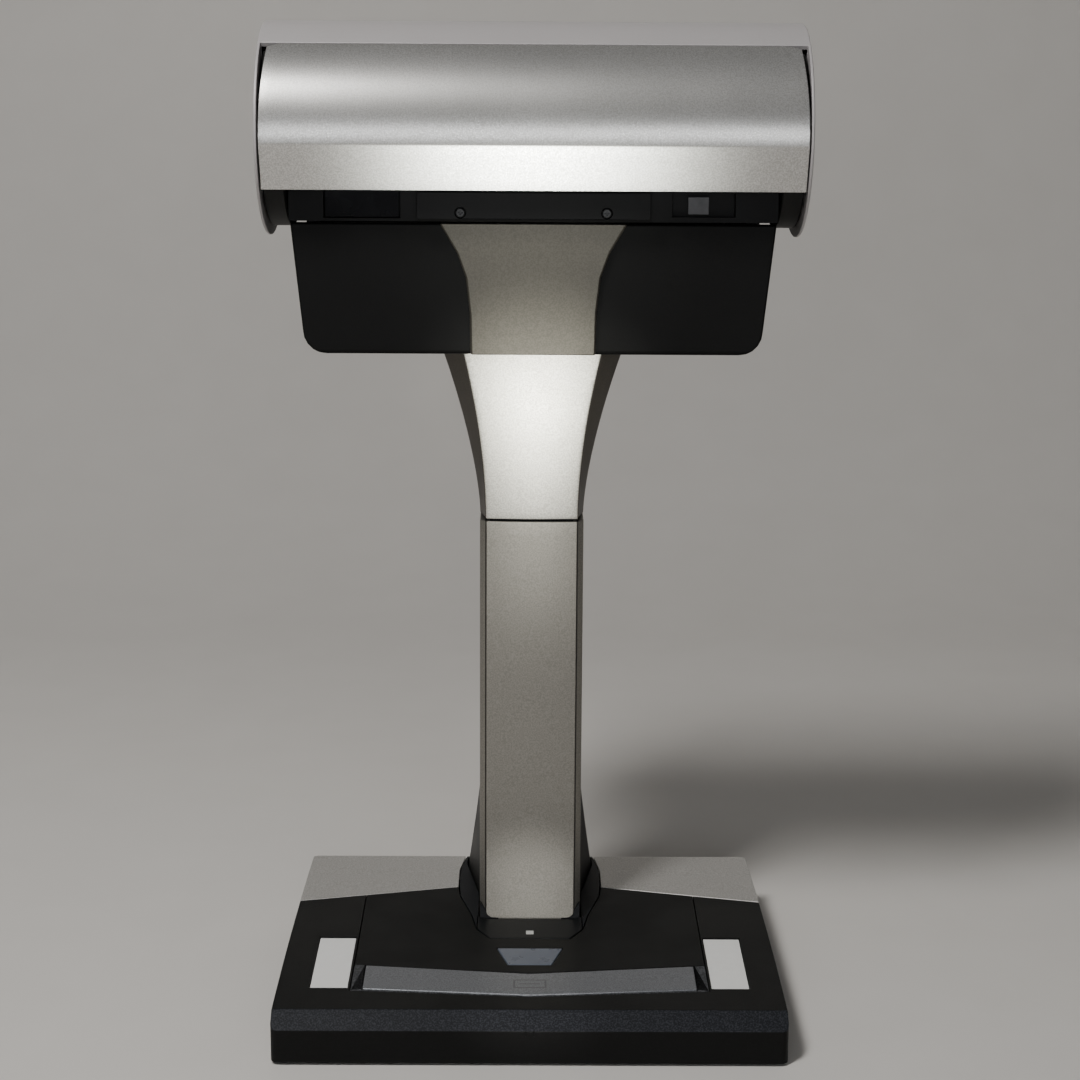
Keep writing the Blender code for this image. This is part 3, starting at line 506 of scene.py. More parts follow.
CHIP_DENSITY = 40000
CHIP_SPREAD = 2.1
CHIP_LEAST = (0.5, 0.35, 0.25)
CHIP_MOST = (1.35, 0.8, 0.5)
chip_resin = moulding("chip_resin", (0.02, 0.02, 0.022), 0.42, 0.3, 0.005)
board_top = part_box("main_board")[1].z
main_chips = grown_from(chip_scatter(), "main_board_chips", {
    "Width": 100 * MM,
    "Depth": 26 * MM,
    "Chip": 3.2 * MM,
    "Corner": (0.0, -24.5 * MM, board_top + 0.7 * MM),
    "Seed": 3,
    "Finish": chip_resin,
})
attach(main_chips, "stand")

# ------------------------------
# Base covers: one large moulded top with a chamfered front, a centre panel let into it, and two
# painted metal-look trims over the rear corners. All clip on from above.
BASE_FRONT, BASE_REAR = -79.0, 79.0
BASE_HALF_WIDTH = 98.45
BASE_TAPER = 1.05
BASE_BULGE = 0.7
BASE_UNDERSIDE = 1.0
BAND_REAR = -71.5
DECK_REAR, DECK_REAR_TOP = 76.5, 25.0
BASE_WALL = 2.2
GAP = 0.3
PANEL_HALF = 70.4
CHANNEL_FRONT_OUTER, CHANNEL_FRONT_CENTRE = -55.4, -60.4
CHANNEL_REAR_OUTER, CHANNEL_REAR_CENTRE = -33.1, -40.3
STRIP_NEAR, STRIP_FAR = 71.8, 86.5
STRIP_FRONT, STRIP_REAR = -53.0, -7.5
LENS_OUTLINE = [(-8.7, -32.6), (8.7, -32.6), (13.3, -17.4), (-13.3, -17.4)]
INK_BLACK = (0.0052, 0.0053, 0.0051)
# the chamfered band's lighter black is a painted highlight
BAND_PAINTED_HIGHLIGHT_BLACK = (0.011, 0.012, 0.0145)
BAND_TOP = 20.0
BAND_FOOT = 14.5
SEAM_HALF = 1.55
SEAM_WIDTH = 0.32
SEAM_FOOT, SEAM_HEAD = 12.2, 15.0
SEAM_DEPTH = 0.4
SOCKET_LEFTS = (36.7, 54.7)
SOCKET_WIDTH = 13.6
SOCKET_BOTTOM, SOCKET_TOP = 4.2, 13.8
DECK_SPECK = (0.0095, 0.0096, 0.0092)
BAND_PAINTED_HIGHLIGHT_SPECK = (0.032, 0.034, 0.04)
SILVER = (0.60, 0.588, 0.56)
SILVER_DARK = (0.40, 0.388, 0.362)
# the dark brown of the line beside the column's face is painted shade
PAINTED_SHADE_LINE_BROWN = (0.03, 0.029, 0.026)


def silver_paint(name, light=SILVER, dark=SILVER_DARK, roughness=0.36, metallic=0.82, shade_line_mm=None):
    """Metallic paint: fine flakes under a satin lacquer, with a dark line left and right if given, painted
    shade along the face's edge grooves.
    """
    finish = Finish(name, light, roughness, metallic, coat_weight=0.12, coat_roughness=0.35)
    flakes = finish.noise(0.55, 2)
    drift = finish.noise(28, 2)
    share = flakes.between(0.34, 0.66) * 0.85 + drift * 0.15
    colour = finish.mix(share, dark, light)
    # painted shade: a dark line at the grooves beside the face, where shade falls; the grooves themselves are
    # real geometry
    if shade_line_mm:
        reach = finish.along(0)
        across = reach.maths("ABSOLUTE", reach)
        shade_line_mask = across.inside(shade_line_mm[0] * MM, shade_line_mm[1] * MM, 0.08 * MM)
        colour = finish.mix(shade_line_mask, colour, PAINTED_SHADE_LINE_BROWN)
    finish.feed(base_color=colour, roughness=roughness + 0.1 - 0.14 * flakes + 0.04 * drift)
    return finish.bump(flakes, 0.02, 0.55).material


cover_black = Finish("cover_black", INK_BLACK, 0.5, **LOW_SHEEN)
cover_texture = cover_black.noise(0.62, 2)
cover_handled = cover_black.noise(42, 3)
# The chamfered band above the front face gets lighter blacks than the deck: a painted highlight where the
# sloped face catches the light.
band_rear = cover_black.along(1).between((BAND_REAR - 0.1) * MM, (BAND_REAR + 0.3) * MM)
painted_highlight_band = cover_black.along(2).inside(BAND_FOOT * MM, BAND_TOP * MM, 0.1 * MM) * (1 - band_rear)
speckle = cover_texture.between(0.4, 0.72)
deck_colour = cover_black.mix(speckle * 0.4 + cover_handled * 0.2, INK_BLACK, DECK_SPECK)
band_painted_highlight = cover_black.mix(speckle, BAND_PAINTED_HIGHLIGHT_BLACK, BAND_PAINTED_HIGHLIGHT_SPECK)
cover_black.feed(
    base_color=cover_black.mix(painted_highlight_band, deck_colour, band_painted_highlight),
    roughness=0.5 - 0.1 * cover_handled.between(0.3, 0.7) + 0.06 * speckle,
)
cover_black.bump(cover_texture, 0.03, 0.8)


def prism(name, outline, low, high, axis="Z"):
    """A closed block: a flat outline pulled from low to high along an axis, in millimetres."""
    order = {"Z": (0, 1, 2), "X": (2, 0, 1), "Y": (0, 2, 1)}[axis]
    work = bmesh.new()
    rings = []
    for reach in (low, high):
        corners = [(u, v, reach) for u, v in outline]
        rings.append([work.verts.new(Vector([corner[k] for k in order]) * MM) for corner in corners])
    work.faces.new(rings[0])
    work.faces.new(rings[1])
    for step in range(len(outline)):
        nearer = rings[0][step - 1], rings[0][step]
        work.faces.new((*nearer, rings[1][step], rings[1][step - 1]))
    bmesh.ops.recalc_face_normals(work, faces=work.faces)
    mesh = bpy.data.meshes.new(name)
    work.to_mesh(mesh)
    work.free()
    return new_piece(name, mesh, cover_black.material)


def rectangle(left, front, right_end, rear):
    return [(left, front), (right_end, front), (right_end, rear), (left, rear)]


def both_sides(right_side):
    """A full outline from its right half, listed front to back."""
    return right_side + [(-x, y) for x, y in reversed(right_side) if x > 0.0001]


def base_plan(inset, corner_radius=3.0, steps=8):
    """Plan of the base: sides that bulge a little and draw in to the rear, and round corners."""
    radius = max(corner_radius - inset, 1.0)
    front, rear = BASE_FRONT + inset, BASE_REAR - inset
    side = []
    for step in range(13):
        y = front + radius + (rear - front - 2 * radius) * step / 12
        bulge = BASE_BULGE * (1 - (y / BASE_REAR) ** 2)
        side.append((BASE_HALF_WIDTH - BASE_TAPER * y / BASE_REAR + bulge - inset, y))
    turns = [math.pi / 2 * step / steps for step in range(steps)]
    front_x, rear_x = side[0][0] - radius, side[-1][0] - radius
    front_round = [
        (front_x + radius * math.sin(turn), front + radius * (1 - math.cos(turn))) for turn in turns
    ]
    rear_round = [
        (rear_x + radius * math.sin(turn), rear - radius * (1 - math.cos(turn))) for turn in reversed(turns)
    ]
    return both_sides(front_round + side + rear_round)


def base_form(name, inset, drop, bottom):
    """The base's outer form, drawn in by inset and lowered by drop."""
    roof = [
        (BASE_FRONT - 5, bottom - 5),
        (BASE_FRONT - 5, BAND_FOOT - drop - 3.67),
        (BASE_FRONT + inset, BAND_FOOT - drop),
        (BAND_REAR, BAND_TOP - drop),
        (DECK_REAR, DECK_REAR_TOP - drop),
        (BASE_REAR + 5, DECK_REAR_TOP - drop - 1.5),
        (BASE_REAR + 5, bottom - 5),
    ]
    form = prism(name, base_plan(inset), bottom, 40)
    return cut(form, [prism("roof", roof, -120, 120, "X")], "INTERSECT")


def deck_piece(name, outline, drop, depth, holes=()):
    """A piece let into the sloping deck: its top is drop below the deck, its foot depth below."""
    slope = (DECK_REAR_TOP - BAND_TOP) / (DECK_REAR - BAND_REAR)
    piece = prism(name, outline, 0.0, 1.0)
    for corner in piece.data.vertices:
        deck = BAND_TOP * MM + slope * (corner.co.y - BAND_REAR * MM)
        corner.co.z = deck - (drop if corner.co.z > 0.5 * MM else depth) * MM
    return cut(piece, holes) if holes else piece


def finished(piece, material, node, edge_mm, angle=30, segments=3, grooves=()):
    """The piece in its material, its edges eased, shown for a node."""
    piece.data.materials.clear()
    piece.data.materials.append(material)
    return stand_in(eased(piece, edge_mm, angle, segments, grooves), node)


def grown(outline, amount):
    """An outline moved outwards by amount, listed anticlockwise."""
    moved = []
    for step, corner in enumerate(outline):
        here = Vector(corner)
        first = (here - Vector(outline[step - 1])).normalized()
        second = (Vector(outline[(step + 1) % len(outline)]) - here).normalized()
        outward = (Vector((first.y, -first.x)) + Vector((second.y, -second.x))).normalized()
        moved.append(tuple(here + outward * amount / max(outward.dot(Vector((first.y, -first.x))), 0.5)))
    return moved


seams = []
seam_line = [(-79.2, 14.0), (-71.6, 19.7), (-71.6, 22), (-79.2, 22)]
for side in (-1, 1):
    middle = side * SEAM_HALF
    left_edge, right_edge = middle - SEAM_WIDTH / 2, middle + SEAM_WIDTH / 2
    groove = rectangle(left_edge, BASE_FRONT - 1, right_edge, BASE_FRONT + SEAM_DEPTH)
    seams.append(prism("shade_line_mask", groove, SEAM_FOOT, SEAM_HEAD))
    seams.append(prism("shade_line_mask", seam_line, left_edge, right_edge, "X"))

panel_opening = both_sides([
    (0, CHANNEL_FRONT_CENTRE - GAP),
    (PANEL_HALF + GAP, CHANNEL_FRONT_OUTER - GAP),
    (PANEL_HALF + GAP, 40.0),
    (34.0, 50.0),
    (29.0, 76.0),
])
top_cover = base_form("base_top_cover_surface", 0.0, 0.0, BASE_UNDERSIDE)
openings = [base_form("hollow", BASE_WALL, BASE_WALL, -5.0), prism("opening", panel_opening, 12, 40)]
for side in (-1, 1):
    corner_trim = [(side * x, y) for x, y in ((30.0, 43.9), (104.5, 27.2), (104.5, 85), (28.0, 85))]
    openings.append(prism("trim_place", corner_trim, 13.7, 40))
    near_edge, far_edge = sorted((side * (STRIP_NEAR - GAP), side * (STRIP_FAR + GAP)))
    strip_place = rectangle(near_edge, STRIP_FRONT - GAP, far_edge, STRIP_REAR + GAP)
    openings.append(deck_piece("strip_place", strip_place, -4.0, 1.5))
for left_edge in SOCKET_LEFTS:
    socket = rectangle(left_edge, SOCKET_BOTTOM, left_edge + SOCKET_WIDTH, SOCKET_TOP)
    openings.append(prism("socket_place", socket, 70, 90, "Y"))
finished(cut(top_cover, openings), cover_black.material, "base_top_cover", 0.4, 25, 3, seams)

panel_black = moulding("panel_black", INK_BLACK, 0.5, 0.6, 0.03, **LOW_SHEEN)
panel_side = [
    (PANEL_HALF, CHANNEL_REAR_OUTER + GAP),
    (PANEL_HALF, 34.7),
    (31.0, 43.7),
    (30.1, 34.2),
    (24.8, 15.0),
    (22.3, 0.4),
    (16.8, -8.5),
]
panel_outline = both_sides([(0, CHANNEL_REAR_CENTRE + GAP)] + panel_side)
lens_hole = prism("lens_hole", grown(LENS_OUTLINE, GAP), 5, 40)
centre_panel = deck_piece("centre_panel_surface", panel_outline, 0.0, BASE_WALL, [lens_hole])
finished(centre_panel, panel_black, "centre_panel", 0.28)

TRIM_SILVER, TRIM_SILVER_DARK = (0.56, 0.55, 0.53), (0.40, 0.39, 0.37)
trim_paint = silver_paint("trim_paint", TRIM_SILVER, TRIM_SILVER_DARK, 0.42, 0.7)
TRIM_OUTLINE = [(31.1, 44.0), (104.0, 27.6), (104.0, 84.0), (29.0, 84.0), (29.0, 76.3), (31.1, 62.2)]
for side, name in ((-1, "rear_trim_left"), (1, "rear_trim_right")):
    place = prism("place", [(side * x, y) for x, y in TRIM_OUTLINE], 14.0, 40)
    trim = cut(base_form(name + "_surface", 0.0, 0.0, 2.0), [place], "INTERSECT")
    trim = cut(trim, [base_form("hollow", BASE_WALL, BASE_WALL, -5.0)])
    finished(trim, trim_paint, name, 0.3)

# ------------------------------
# Deck fittings: the scan bar in its sanded channel, the stop key and the collars at the column's
# foot, the milky power lens, and two matt white strips that the sensor is balanced against.
KEY_BLACK = (0.0055, 0.006, 0.0066)
BAR_GREY_DARK = (0.13, 0.136, 0.147)
BAR_GREY_LIGHT = (0.215, 0.222, 0.236)
BAR_MARK = (0.05, 0.05, 0.055)
MARK_HALF = 6.5
MARK_NEAR, MARK_FAR = -53.8, -46.6
MARK_LINE = 0.7
SAND_DARK, SAND_LIGHT = (0.016, 0.017, 0.019), (0.06, 0.062, 0.067)
LEGEND_WHITE = (0.5, 0.5, 0.48)

channel_sand = Finish("channel_sand", (0.05, 0.052, 0.056), 0.75)
sand = channel_sand.noise(0.9, 1)
channel_sand.feed(
    base_color=channel_sand.mix(sand.between(0.4, 0.68), SAND_DARK, SAND_LIGHT),
    roughness=0.8 - 0.2 * sand,
)
BUTTON_HALF = 65.8
BUTTON_OUTLINE = [
    (-BUTTON_HALF, -54.6), (0, -59.6), (BUTTON_HALF, -54.6),
    (BUTTON_HALF, -34.0), (0, -41.2), (-BUTTON_HALF, -34.0),
]
channel_outline = [
    (-PANEL_HALF, CHANNEL_FRONT_OUTER), (0, CHANNEL_FRONT_CENTRE), (PANEL_HALF, CHANNEL_FRONT_OUTER),
    (PANEL_HALF, CHANNEL_REAR_OUTER), (0, CHANNEL_REAR_CENTRE), (-PANEL_HALF, CHANNEL_REAR_OUTER),
]
bar_pocket = deck_piece("bar_pocket", grown(BUTTON_OUTLINE, 0.4), -6.0, 6.2)
stem_hole = prism("stem_hole", rectangle(-3.4, -52.4, 3.4, -47.6), 5, 40)
channel = deck_piece("scan_button_channel_surface", channel_outline, 0.0, 8.0, [bar_pocket, stem_hole])
finished(channel, channel_sand.bump(sand, 0.05, 0.8).material, "scan_button_channel", 0.15)

bar_paint = Finish("scan_bar_paint", BAR_GREY_DARK, 0.4, 0.55)
bar_flakes = bar_paint.noise(0.5, 2)
bar_colour = bar_paint.mix(bar_flakes.between(0.35, 0.65), BAR_GREY_DARK, BAR_GREY_LIGHT)
page = bar_paint.patch(-MARK_HALF, MARK_NEAR, MARK_HALF, MARK_FAR, 0.05)
page_inside = bar_paint.patch(
    MARK_LINE - MARK_HALF, MARK_NEAR + MARK_LINE, MARK_HALF - MARK_LINE, MARK_FAR - MARK_LINE, 0.05
)
text_line = bar_paint.patch(-4.0, -50.5, 4.0, -49.9, 0.05)
mark = (page * (1 - page_inside) + text_line) * 0.55
bar_paint.feed(
    base_color=bar_paint.mix(mark, bar_colour, BAR_MARK),
    roughness=0.36 + 0.1 * bar_flakes,
)
bar_stem = prism("bar_stem", rectangle(-3.0, -52.0, 3.0, -48.0), 13.9, 19.0)
scan_bar = cut(deck_piece("scan_button_surface", BUTTON_OUTLINE, -0.3, 3.6), [bar_stem], "UNION")
finished(scan_bar, bar_paint.bump(bar_flakes, 0.015, 0.6).material, "scan_button", 0.55, 30, 4)

key_black = Finish("stop_key_black", KEY_BLACK, 0.45, **LOW_SHEEN)
key_texture = key_black.noise(0.6, 2)
stop_square = key_black.patch(-1.5, -4.6, 1.5, -1.2, 0.08)
key_black.feed(
    base_color=key_black.mix(stop_square, KEY_BLACK, LEGEND_WHITE),
    roughness=0.4 + 0.08 * key_texture,
)
key_outline = both_sides([(16.5, -8.2), (21.8, 0.6), (21.8, 13.0), (20.2, 13.0), (18.4, 10.4)])
key_stem = prism("key_stem", rectangle(-2.5, -5.5, 2.5, -1.5), 13.7, 21.0)
stop_key = cut(deck_piece("stop_button_surface", key_outline, -0.2, 3.4), [key_stem], "UNION")
finished(stop_key, key_black.bump(key_texture, 0.02, 0.7).material, "stop_button", 0.35, 30)
collar_black = moulding("collar_black", (0.0075, 0.008, 0.009), 0.48, 0.6, 0.02, **LOW_SHEEN)
collar_outer = [(22.2, 2.2), (24.4, 15.0), (29.8, 34.5), (30.7, 48.0), (30.7, 62.0), (28.6, 76.0)]
collar_inner = [(28.0, 75.6), (27.9, 69.0), (21.8, 35.8), (21.8, 13.6), (22.2, 13.4)]
for side, name in ((-1, "column_collar_left"), (1, "column_collar_right")):
    collar_outline = [(side * x, y) for x, y in collar_outer + collar_inner]
    finished(deck_piece(name + "_surface", collar_outline, 0.1, 3.0), collar_black, name, 0.15)


def clouded(name, first, second, cloud_mm, roughness, drift, detail=2, metallic=0.0, **uniform):
    """A smooth surface whose colour and gloss drift a little, from first to second."""
    finish = Finish(name, first, roughness, metallic, **uniform)
    finish.cloud = finish.noise(cloud_mm, detail)
    colour = finish.mix(finish.cloud, first, second)
    return finish.feed(base_color=colour, roughness=roughness + drift * finish.cloud)


LENS_BLUE, LENS_BLUE_LIGHT = (0.062, 0.074, 0.1), (0.08, 0.094, 0.125)
milky_lens = clouded("milky_lens", LENS_BLUE, LENS_BLUE_LIGHT, 5, 0.24, 0.1, coat_weight=0.2)
finished(deck_piece("power_lens_surface", LENS_OUTLINE, 0.0, 2.6), milky_lens.material, "power_lens", 0.4)

STRIP_WHITE, STRIP_WHITE_LIGHT = (0.71, 0.705, 0.68), (0.77, 0.765, 0.74)
strip_white = clouded("strip_white", STRIP_WHITE, STRIP_WHITE_LIGHT, 3, 0.5, 0.1, 4)
strip_white.bump(strip_white.cloud, 0.01, 0.5)
for side, name in ((-1, "white_reference_left"), (1, "white_reference_right")):
    near_edge, far_edge = sorted((side * STRIP_NEAR, side * STRIP_FAR))
    strip = rectangle(near_edge, STRIP_FRONT, far_edge, STRIP_REAR)
    finished(deck_piece(name + "_surface", strip, 0.5, 1.2), strip_white.material, name, 0.12)

# ------------------------------
# Feet and screws: four moulded rubber feet under the floor plate, and cross-head screws, plated
# steel with a domed head. Each set is laid out on its points by one node tree.
BASE_SCREW_RADIUS, BASE_SCREW_HEIGHT = 3.0, 1.9

rubber = moulding("foot_rubber", (0.02, 0.02, 0.02), 0.82, 0.8, 0.03)
screw_steel = steel("screw_steel", (0.34, 0.34, 0.35), 0.5, roughness=0.3)


def screw_heads():
    """Cross-head screws on points: a disc with a domed rim and a crossed recess."""
    grow = Grower(
        "screw_heads",
        Geometry="Geometry", Radius="Float", Height="Float", Recess="Float", Slot="Float",
        Turn="Vector", Finish="Material",
    )

    def disc(radius_top, depth, rise):
        cone = grow.add("GeometryNodeMeshCone", None, {
            "Vertices": 40, "Radius Top": radius_top, "Radius Bottom": "Radius", "Depth": depth,
        })
        return grow.moved(cone, grow.vector(0, 0, rise))

    skirt = grow.maths("MULTIPLY", "Height", 0.75)
    dome = grow.maths("MULTIPLY", "Height", 0.25)
    discs = [disc("Radius", skirt, 0), disc(grow.maths("MULTIPLY", "Radius", 0.82), dome, skirt)]
    length = grow.maths("MULTIPLY", "Radius", 1.15)
    floor_of_recess = grow.maths("SUBTRACT", "Height", "Recess")
    rise = grow.maths("ADD", floor_of_recess, grow.maths("MULTIPLY", "Height", 0.5))
    arms = []
    for across, along in (("Slot", length), (length, "Slot")):
        arm = grow.add("GeometryNodeMeshCube", None, {"Size": grow.vector(across, along, "Height")})
        arms.append(grow.moved(arm, grow.vector(0, 0, rise)))
    whole = grow.joined("UNION", {"Mesh 2": discs})
    recessed = grow.joined("DIFFERENCE", {"Mesh 1": whole, "Mesh 2": arms})
    return grow.done(grow.add("GeometryNodeInstanceOnPoints", None, {
        "Points": "Geometry", "Instance": recessed, "Rotation": "Turn",
    }))


CORNERS = ("front_left", "front_right", "rear_left", "rear_right")


def middle_of(node):
    low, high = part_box(node)
    return (low + high) / 2 / MM


screw_tree = screw_heads()


def screw_set(name, nodes, places, radius, height, recess, slot, turn, finish):
    """Screw heads at their places, in millimetres, shown for a set of screws."""
    heads = grown_from(screw_tree, name, {
        "Radius": radius * MM,
        "Height": height * MM,
        "Recess": recess * MM,
        "Slot": slot * MM,
        "Turn": turn,
        "Finish": finish,
    }, places)
    stand_in(heads, *nodes)


base_screw_nodes = ["base_screw_" + corner for corner in CORNERS]
screw_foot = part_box(base_screw_nodes[0])[0].z / MM + BASE_SCREW_HEIGHT
base_screw_places = [(*middle_of(node).xy, screw_foot) for node in base_screw_nodes]
screw_set(
    "base_screw_heads", base_screw_nodes, base_screw_places,
    BASE_SCREW_RADIUS, BASE_SCREW_HEIGHT, 1.1, 0.8, (math.pi, 0.0, 0.4), screw_steel,
)

for corner in CORNERS:
    refined("rubber_foot_" + corner, rubber, 0.35, 40)

# ------------------------------
# Column: a square steel core bolted to the base plate with the head's lead inside it, a painted
# front cover with a slightly domed face between two chamfers, and a black rear cover with a foot.
COLUMN_FOOT = 18.0
COLUMN_TOP = 193.4
COLUMN_HALF = 21.2
FACE_HALF = 18.6
FACE_CROWN = 0.9
# where the painted shade line lies across the face's edge grooves
FACE_PAINTED_SHADE_LINE = (18.5, 18.9)
COVER_FRONT, COVER_LEAN = 12.2, 3.8
COVER_SPLIT = 35.5
COVER_WALL = 2.0
GROOVE = 0.55
# The column's silver paint is darkened to half the neck's as painted shade, and warmed as a painted
# reflection of warm surroundings.
COLUMN_PAINTED_SHADE = (0.31, 0.295, 0.262)
COLUMN_PAINTED_SHADE_DARK = (0.23, 0.219, 0.194)

dress(plate_steel, "column_core")
dress(moulding("lead_jacket", (0.018, 0.018, 0.018), 0.5, 0.7, 0.01), "column_cable")


def loft(name, sections, wall_mm, material, edge_mm=0.3):
    """A skin through rows of points, given a wall inwards, with its rims eased."""
    mesh = bpy.data.meshes.new(name)
    work = bmesh.new()
    rows = [[work.verts.new(Vector(point) * MM) for point in section] for section in sections]
    for lower, upper in zip(rows, rows[1:]):
        for step in range(len(lower) - 1):
            work.faces.new((lower[step], lower[step + 1], upper[step + 1], upper[step]))
    work.normal_update()
    work.to_mesh(mesh)
    work.free()
    piece = new_piece(name, mesh, material)
    shell = piece.modifiers.new("wall", "SOLIDIFY")
    shell.thickness = wall_mm * MM
    shell.offset = -1
    shell.use_even_offset = True
    return eased(settled(piece), edge_mm, 50, 2)


def mirrored(right_side):
    """A full outline, left to right, from its right half listed from the centre outwards."""
    return [(-x, y) for x, y in reversed(right_side) if x > 0] + right_side


def column_face(half, front, crown, steps):
    return [
        (half * step / steps, front - crown * (1 - (step / steps) ** 2)) for step in range(steps + 1)
    ]


# silver paint in painted shade, with a painted shade line at each edge groove
column_shaded_paint = silver_paint("column_shaded_paint", COLUMN_PAINTED_SHADE, COLUMN_PAINTED_SHADE_DARK, 0.37, shade_line_mm=FACE_PAINTED_SHADE_LINE)
sections = []
COLUMN_ROWS = 30
for row in range(COLUMN_ROWS + 1):
    z = COLUMN_FOOT + (COLUMN_TOP - COLUMN_FOOT) * row / COLUMN_ROWS
    front = COVER_FRONT + COVER_LEAN * row / COLUMN_ROWS
    outline = column_face(FACE_HALF - 0.3, front, FACE_CROWN, 10)
    outline += [(FACE_HALF - 0.08, front + 0.1), (FACE_HALF, front + GROOVE)]
    outline += [(FACE_HALF + 0.25, front + 0.28)]
    outline += [(COLUMN_HALF - 0.35, front + 3.0), (COLUMN_HALF - 0.08, front + 3.4)]
    outline += [(COLUMN_HALF, front + 3.9), (COLUMN_HALF, COVER_SPLIT)]
    sections.append([(x, y, z) for x, y in mirrored(outline)])
column_front = loft("column_front_surface", sections, COVER_WALL, column_shaded_paint)
stand_in(column_front, "column_front_cover")

column_black = moulding("column_black", (0.011, 0.011, 0.0105), 0.46, 0.55, 0.02, **LOW_SHEEN)
FLARE_TOP = 75.6
FLARE_DEPTH = 49.6
FLARE_ROWS = 16
FLARE_OUT, FLARE_BACK = 6.0, 13.5
COLUMN_REAR = 61.0
REAR_RADIUS = 6.0


def corner_arc(x, y, radius, steps=6):
    """A quarter round from the side face to the rear face."""
    turns = [math.pi / 2 * step / steps for step in range(steps + 1)]
    return [(x - radius * (1 - math.cos(turn)), y - radius * (1 - math.sin(turn))) for turn in turns]


sections = []
for row in range(FLARE_ROWS + COLUMN_ROWS + 1):
    z = COLUMN_FOOT + (FLARE_TOP - COLUMN_FOOT) * row / FLARE_ROWS
    if row > FLARE_ROWS:
        z = FLARE_TOP + (COLUMN_TOP - FLARE_TOP) * (row - FLARE_ROWS) / COLUMN_ROWS
    flare = min(1.0, max(0.0, (FLARE_TOP - z) / FLARE_DEPTH)) ** 1.15
    half = COLUMN_HALF + FLARE_OUT * flare
    rear = COLUMN_REAR + FLARE_BACK * flare + max(0.0, z - FLARE_TOP) / (COLUMN_TOP - FLARE_TOP)
    outline = [(COLUMN_HALF, COVER_SPLIT + 0.4)] + corner_arc(half, rear, REAR_RADIUS) + [(half - 16, rear)]
    sections.append([(x, y, z) for x, y in outline + [(-x, y) for x, y in reversed(outline)]])
column_rear = loft("column_rear_surface", sections, COVER_WALL, column_black)
stand_in(column_rear, "column_rear_cover")

# ------------------------------
# Foot of the column: two small black gussets on the deck that round off the lower corners of the
# painted face. Moulded with the collars.
GUSSET_RADIUS = 3.4
GUSSET_STEPS = 8
GUSSET_FRONT, GUSSET_DEPTH = 11.75, 3.0
GUSSET_EDGE = 22.9
for side, name in ((-1, "left"), (1, "right")):
    inner_end, outer_end = FACE_HALF - GUSSET_RADIUS - 2.0, FACE_HALF + 2.4
    corner = [(outer_end, GUSSET_EDGE - 1.5), (inner_end, GUSSET_EDGE - 1.5), (inner_end, GUSSET_EDGE - 0.02)]
    for step in range(GUSSET_STEPS + 1):
        turn = math.pi / 2 * step / GUSSET_STEPS
        corner.append((
            FACE_HALF - GUSSET_RADIUS + GUSSET_RADIUS * math.sin(turn),
            GUSSET_EDGE + GUSSET_RADIUS * (1 - math.cos(turn)),
        ))
    corner.append((outer_end, GUSSET_EDGE + GUSSET_RADIUS + 3.2))
    work = bmesh.new()
    near = [work.verts.new(Vector((side * x, GUSSET_FRONT, z)) * MM) for x, z in corner]
    front_face = work.faces.new(near)
    pulled = bmesh.ops.extrude_face_region(work, geom=[front_face])
    for item in pulled["geom"]:
        if isinstance(item, bmesh.types.BMVert):
            item.co.y += GUSSET_DEPTH * MM
    bmesh.ops.recalc_face_normals(work, faces=work.faces)
    mesh = bpy.data.meshes.new("foot_gusset_" + name)
    work.to_mesh(mesh)
    work.free()
    gusset = eased(new_piece("foot_gusset_" + name, mesh, collar_black), 0.2, 40, 2)
    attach(gusset, "stand")

# ------------------------------
# Neck: the column flares to carry the chin housing. A painted front cover, a satin cover round the
# sides and back whose dark brown is painted shade with a painted reflection of a brown desk, and a
# black sleeve behind the open joint between column and neck, a dark piece standing in for the shade
# inside the gap.
NECK_BOTTOM = 194.4
NECK_TOP = 267.2
NECK_SPAN = 74.2
NECK_ROWS = 30
NECK_MEASURES = [(18.7, 10.9, 1.87), (21.2, 18.0, 1.53), (16.0, 4.3, 1.95), (62.0, -8.0, 1.85)]
NECK_SILVER, NECK_SILVER_DARK = (0.62, 0.605, 0.555), (0.42, 0.405, 0.365)
SLEEVE_HEIGHTS = (189.5, 194.0, 198.5)


def neck_plan(z):
    """Front half width, full half width, front and rear of the neck at a height."""
    rise = (z - NECK_BOTTOM) / NECK_SPAN
    return [foot + change * rise ** curve for foot, change, curve in NECK_MEASURES]


# the dark brown of the neck's sides stands in for silver paint in painted shade, with a painted brown
# reflection
neck_sides_painted_shade = moulding("neck_sides_painted_shade", (0.05, 0.044, 0.037), 0.42, 0.55, 0.02, 1.7, 0.3)
neck_paint = silver_paint("neck_paint", NECK_SILVER, NECK_SILVER_DARK, 0.35)
front_sections, rear_sections = [], []
for row in range(NECK_ROWS + 1):
    z = NECK_BOTTOM + (NECK_TOP - NECK_BOTTOM) * row / NECK_ROWS
    front_half, full_half, front, rear = neck_plan(z)
    face = column_face(front_half, front, 1.0, 10)
    front_sections.append([(x, y, z) for x, y in mirrored(face)])
    side = [(front_half + 0.3, front + 2.6), (full_half - 0.5, front + 11.5), (full_half, front + 13.0)]
    side += corner_arc(full_half, rear, 8.0) + [(full_half - 14, rear)]
    rear_sections.append([(x, y, z) for x, y in side + [(-x, y) for x, y in reversed(side)]])
stand_in(loft("neck_front_surface", front_sections, COVER_WALL, neck_paint, 0.4), "neck_front_cover")
stand_in(loft("neck_rear_surface", rear_sections, COVER_WALL, neck_sides_painted_shade), "neck_rear_cover")

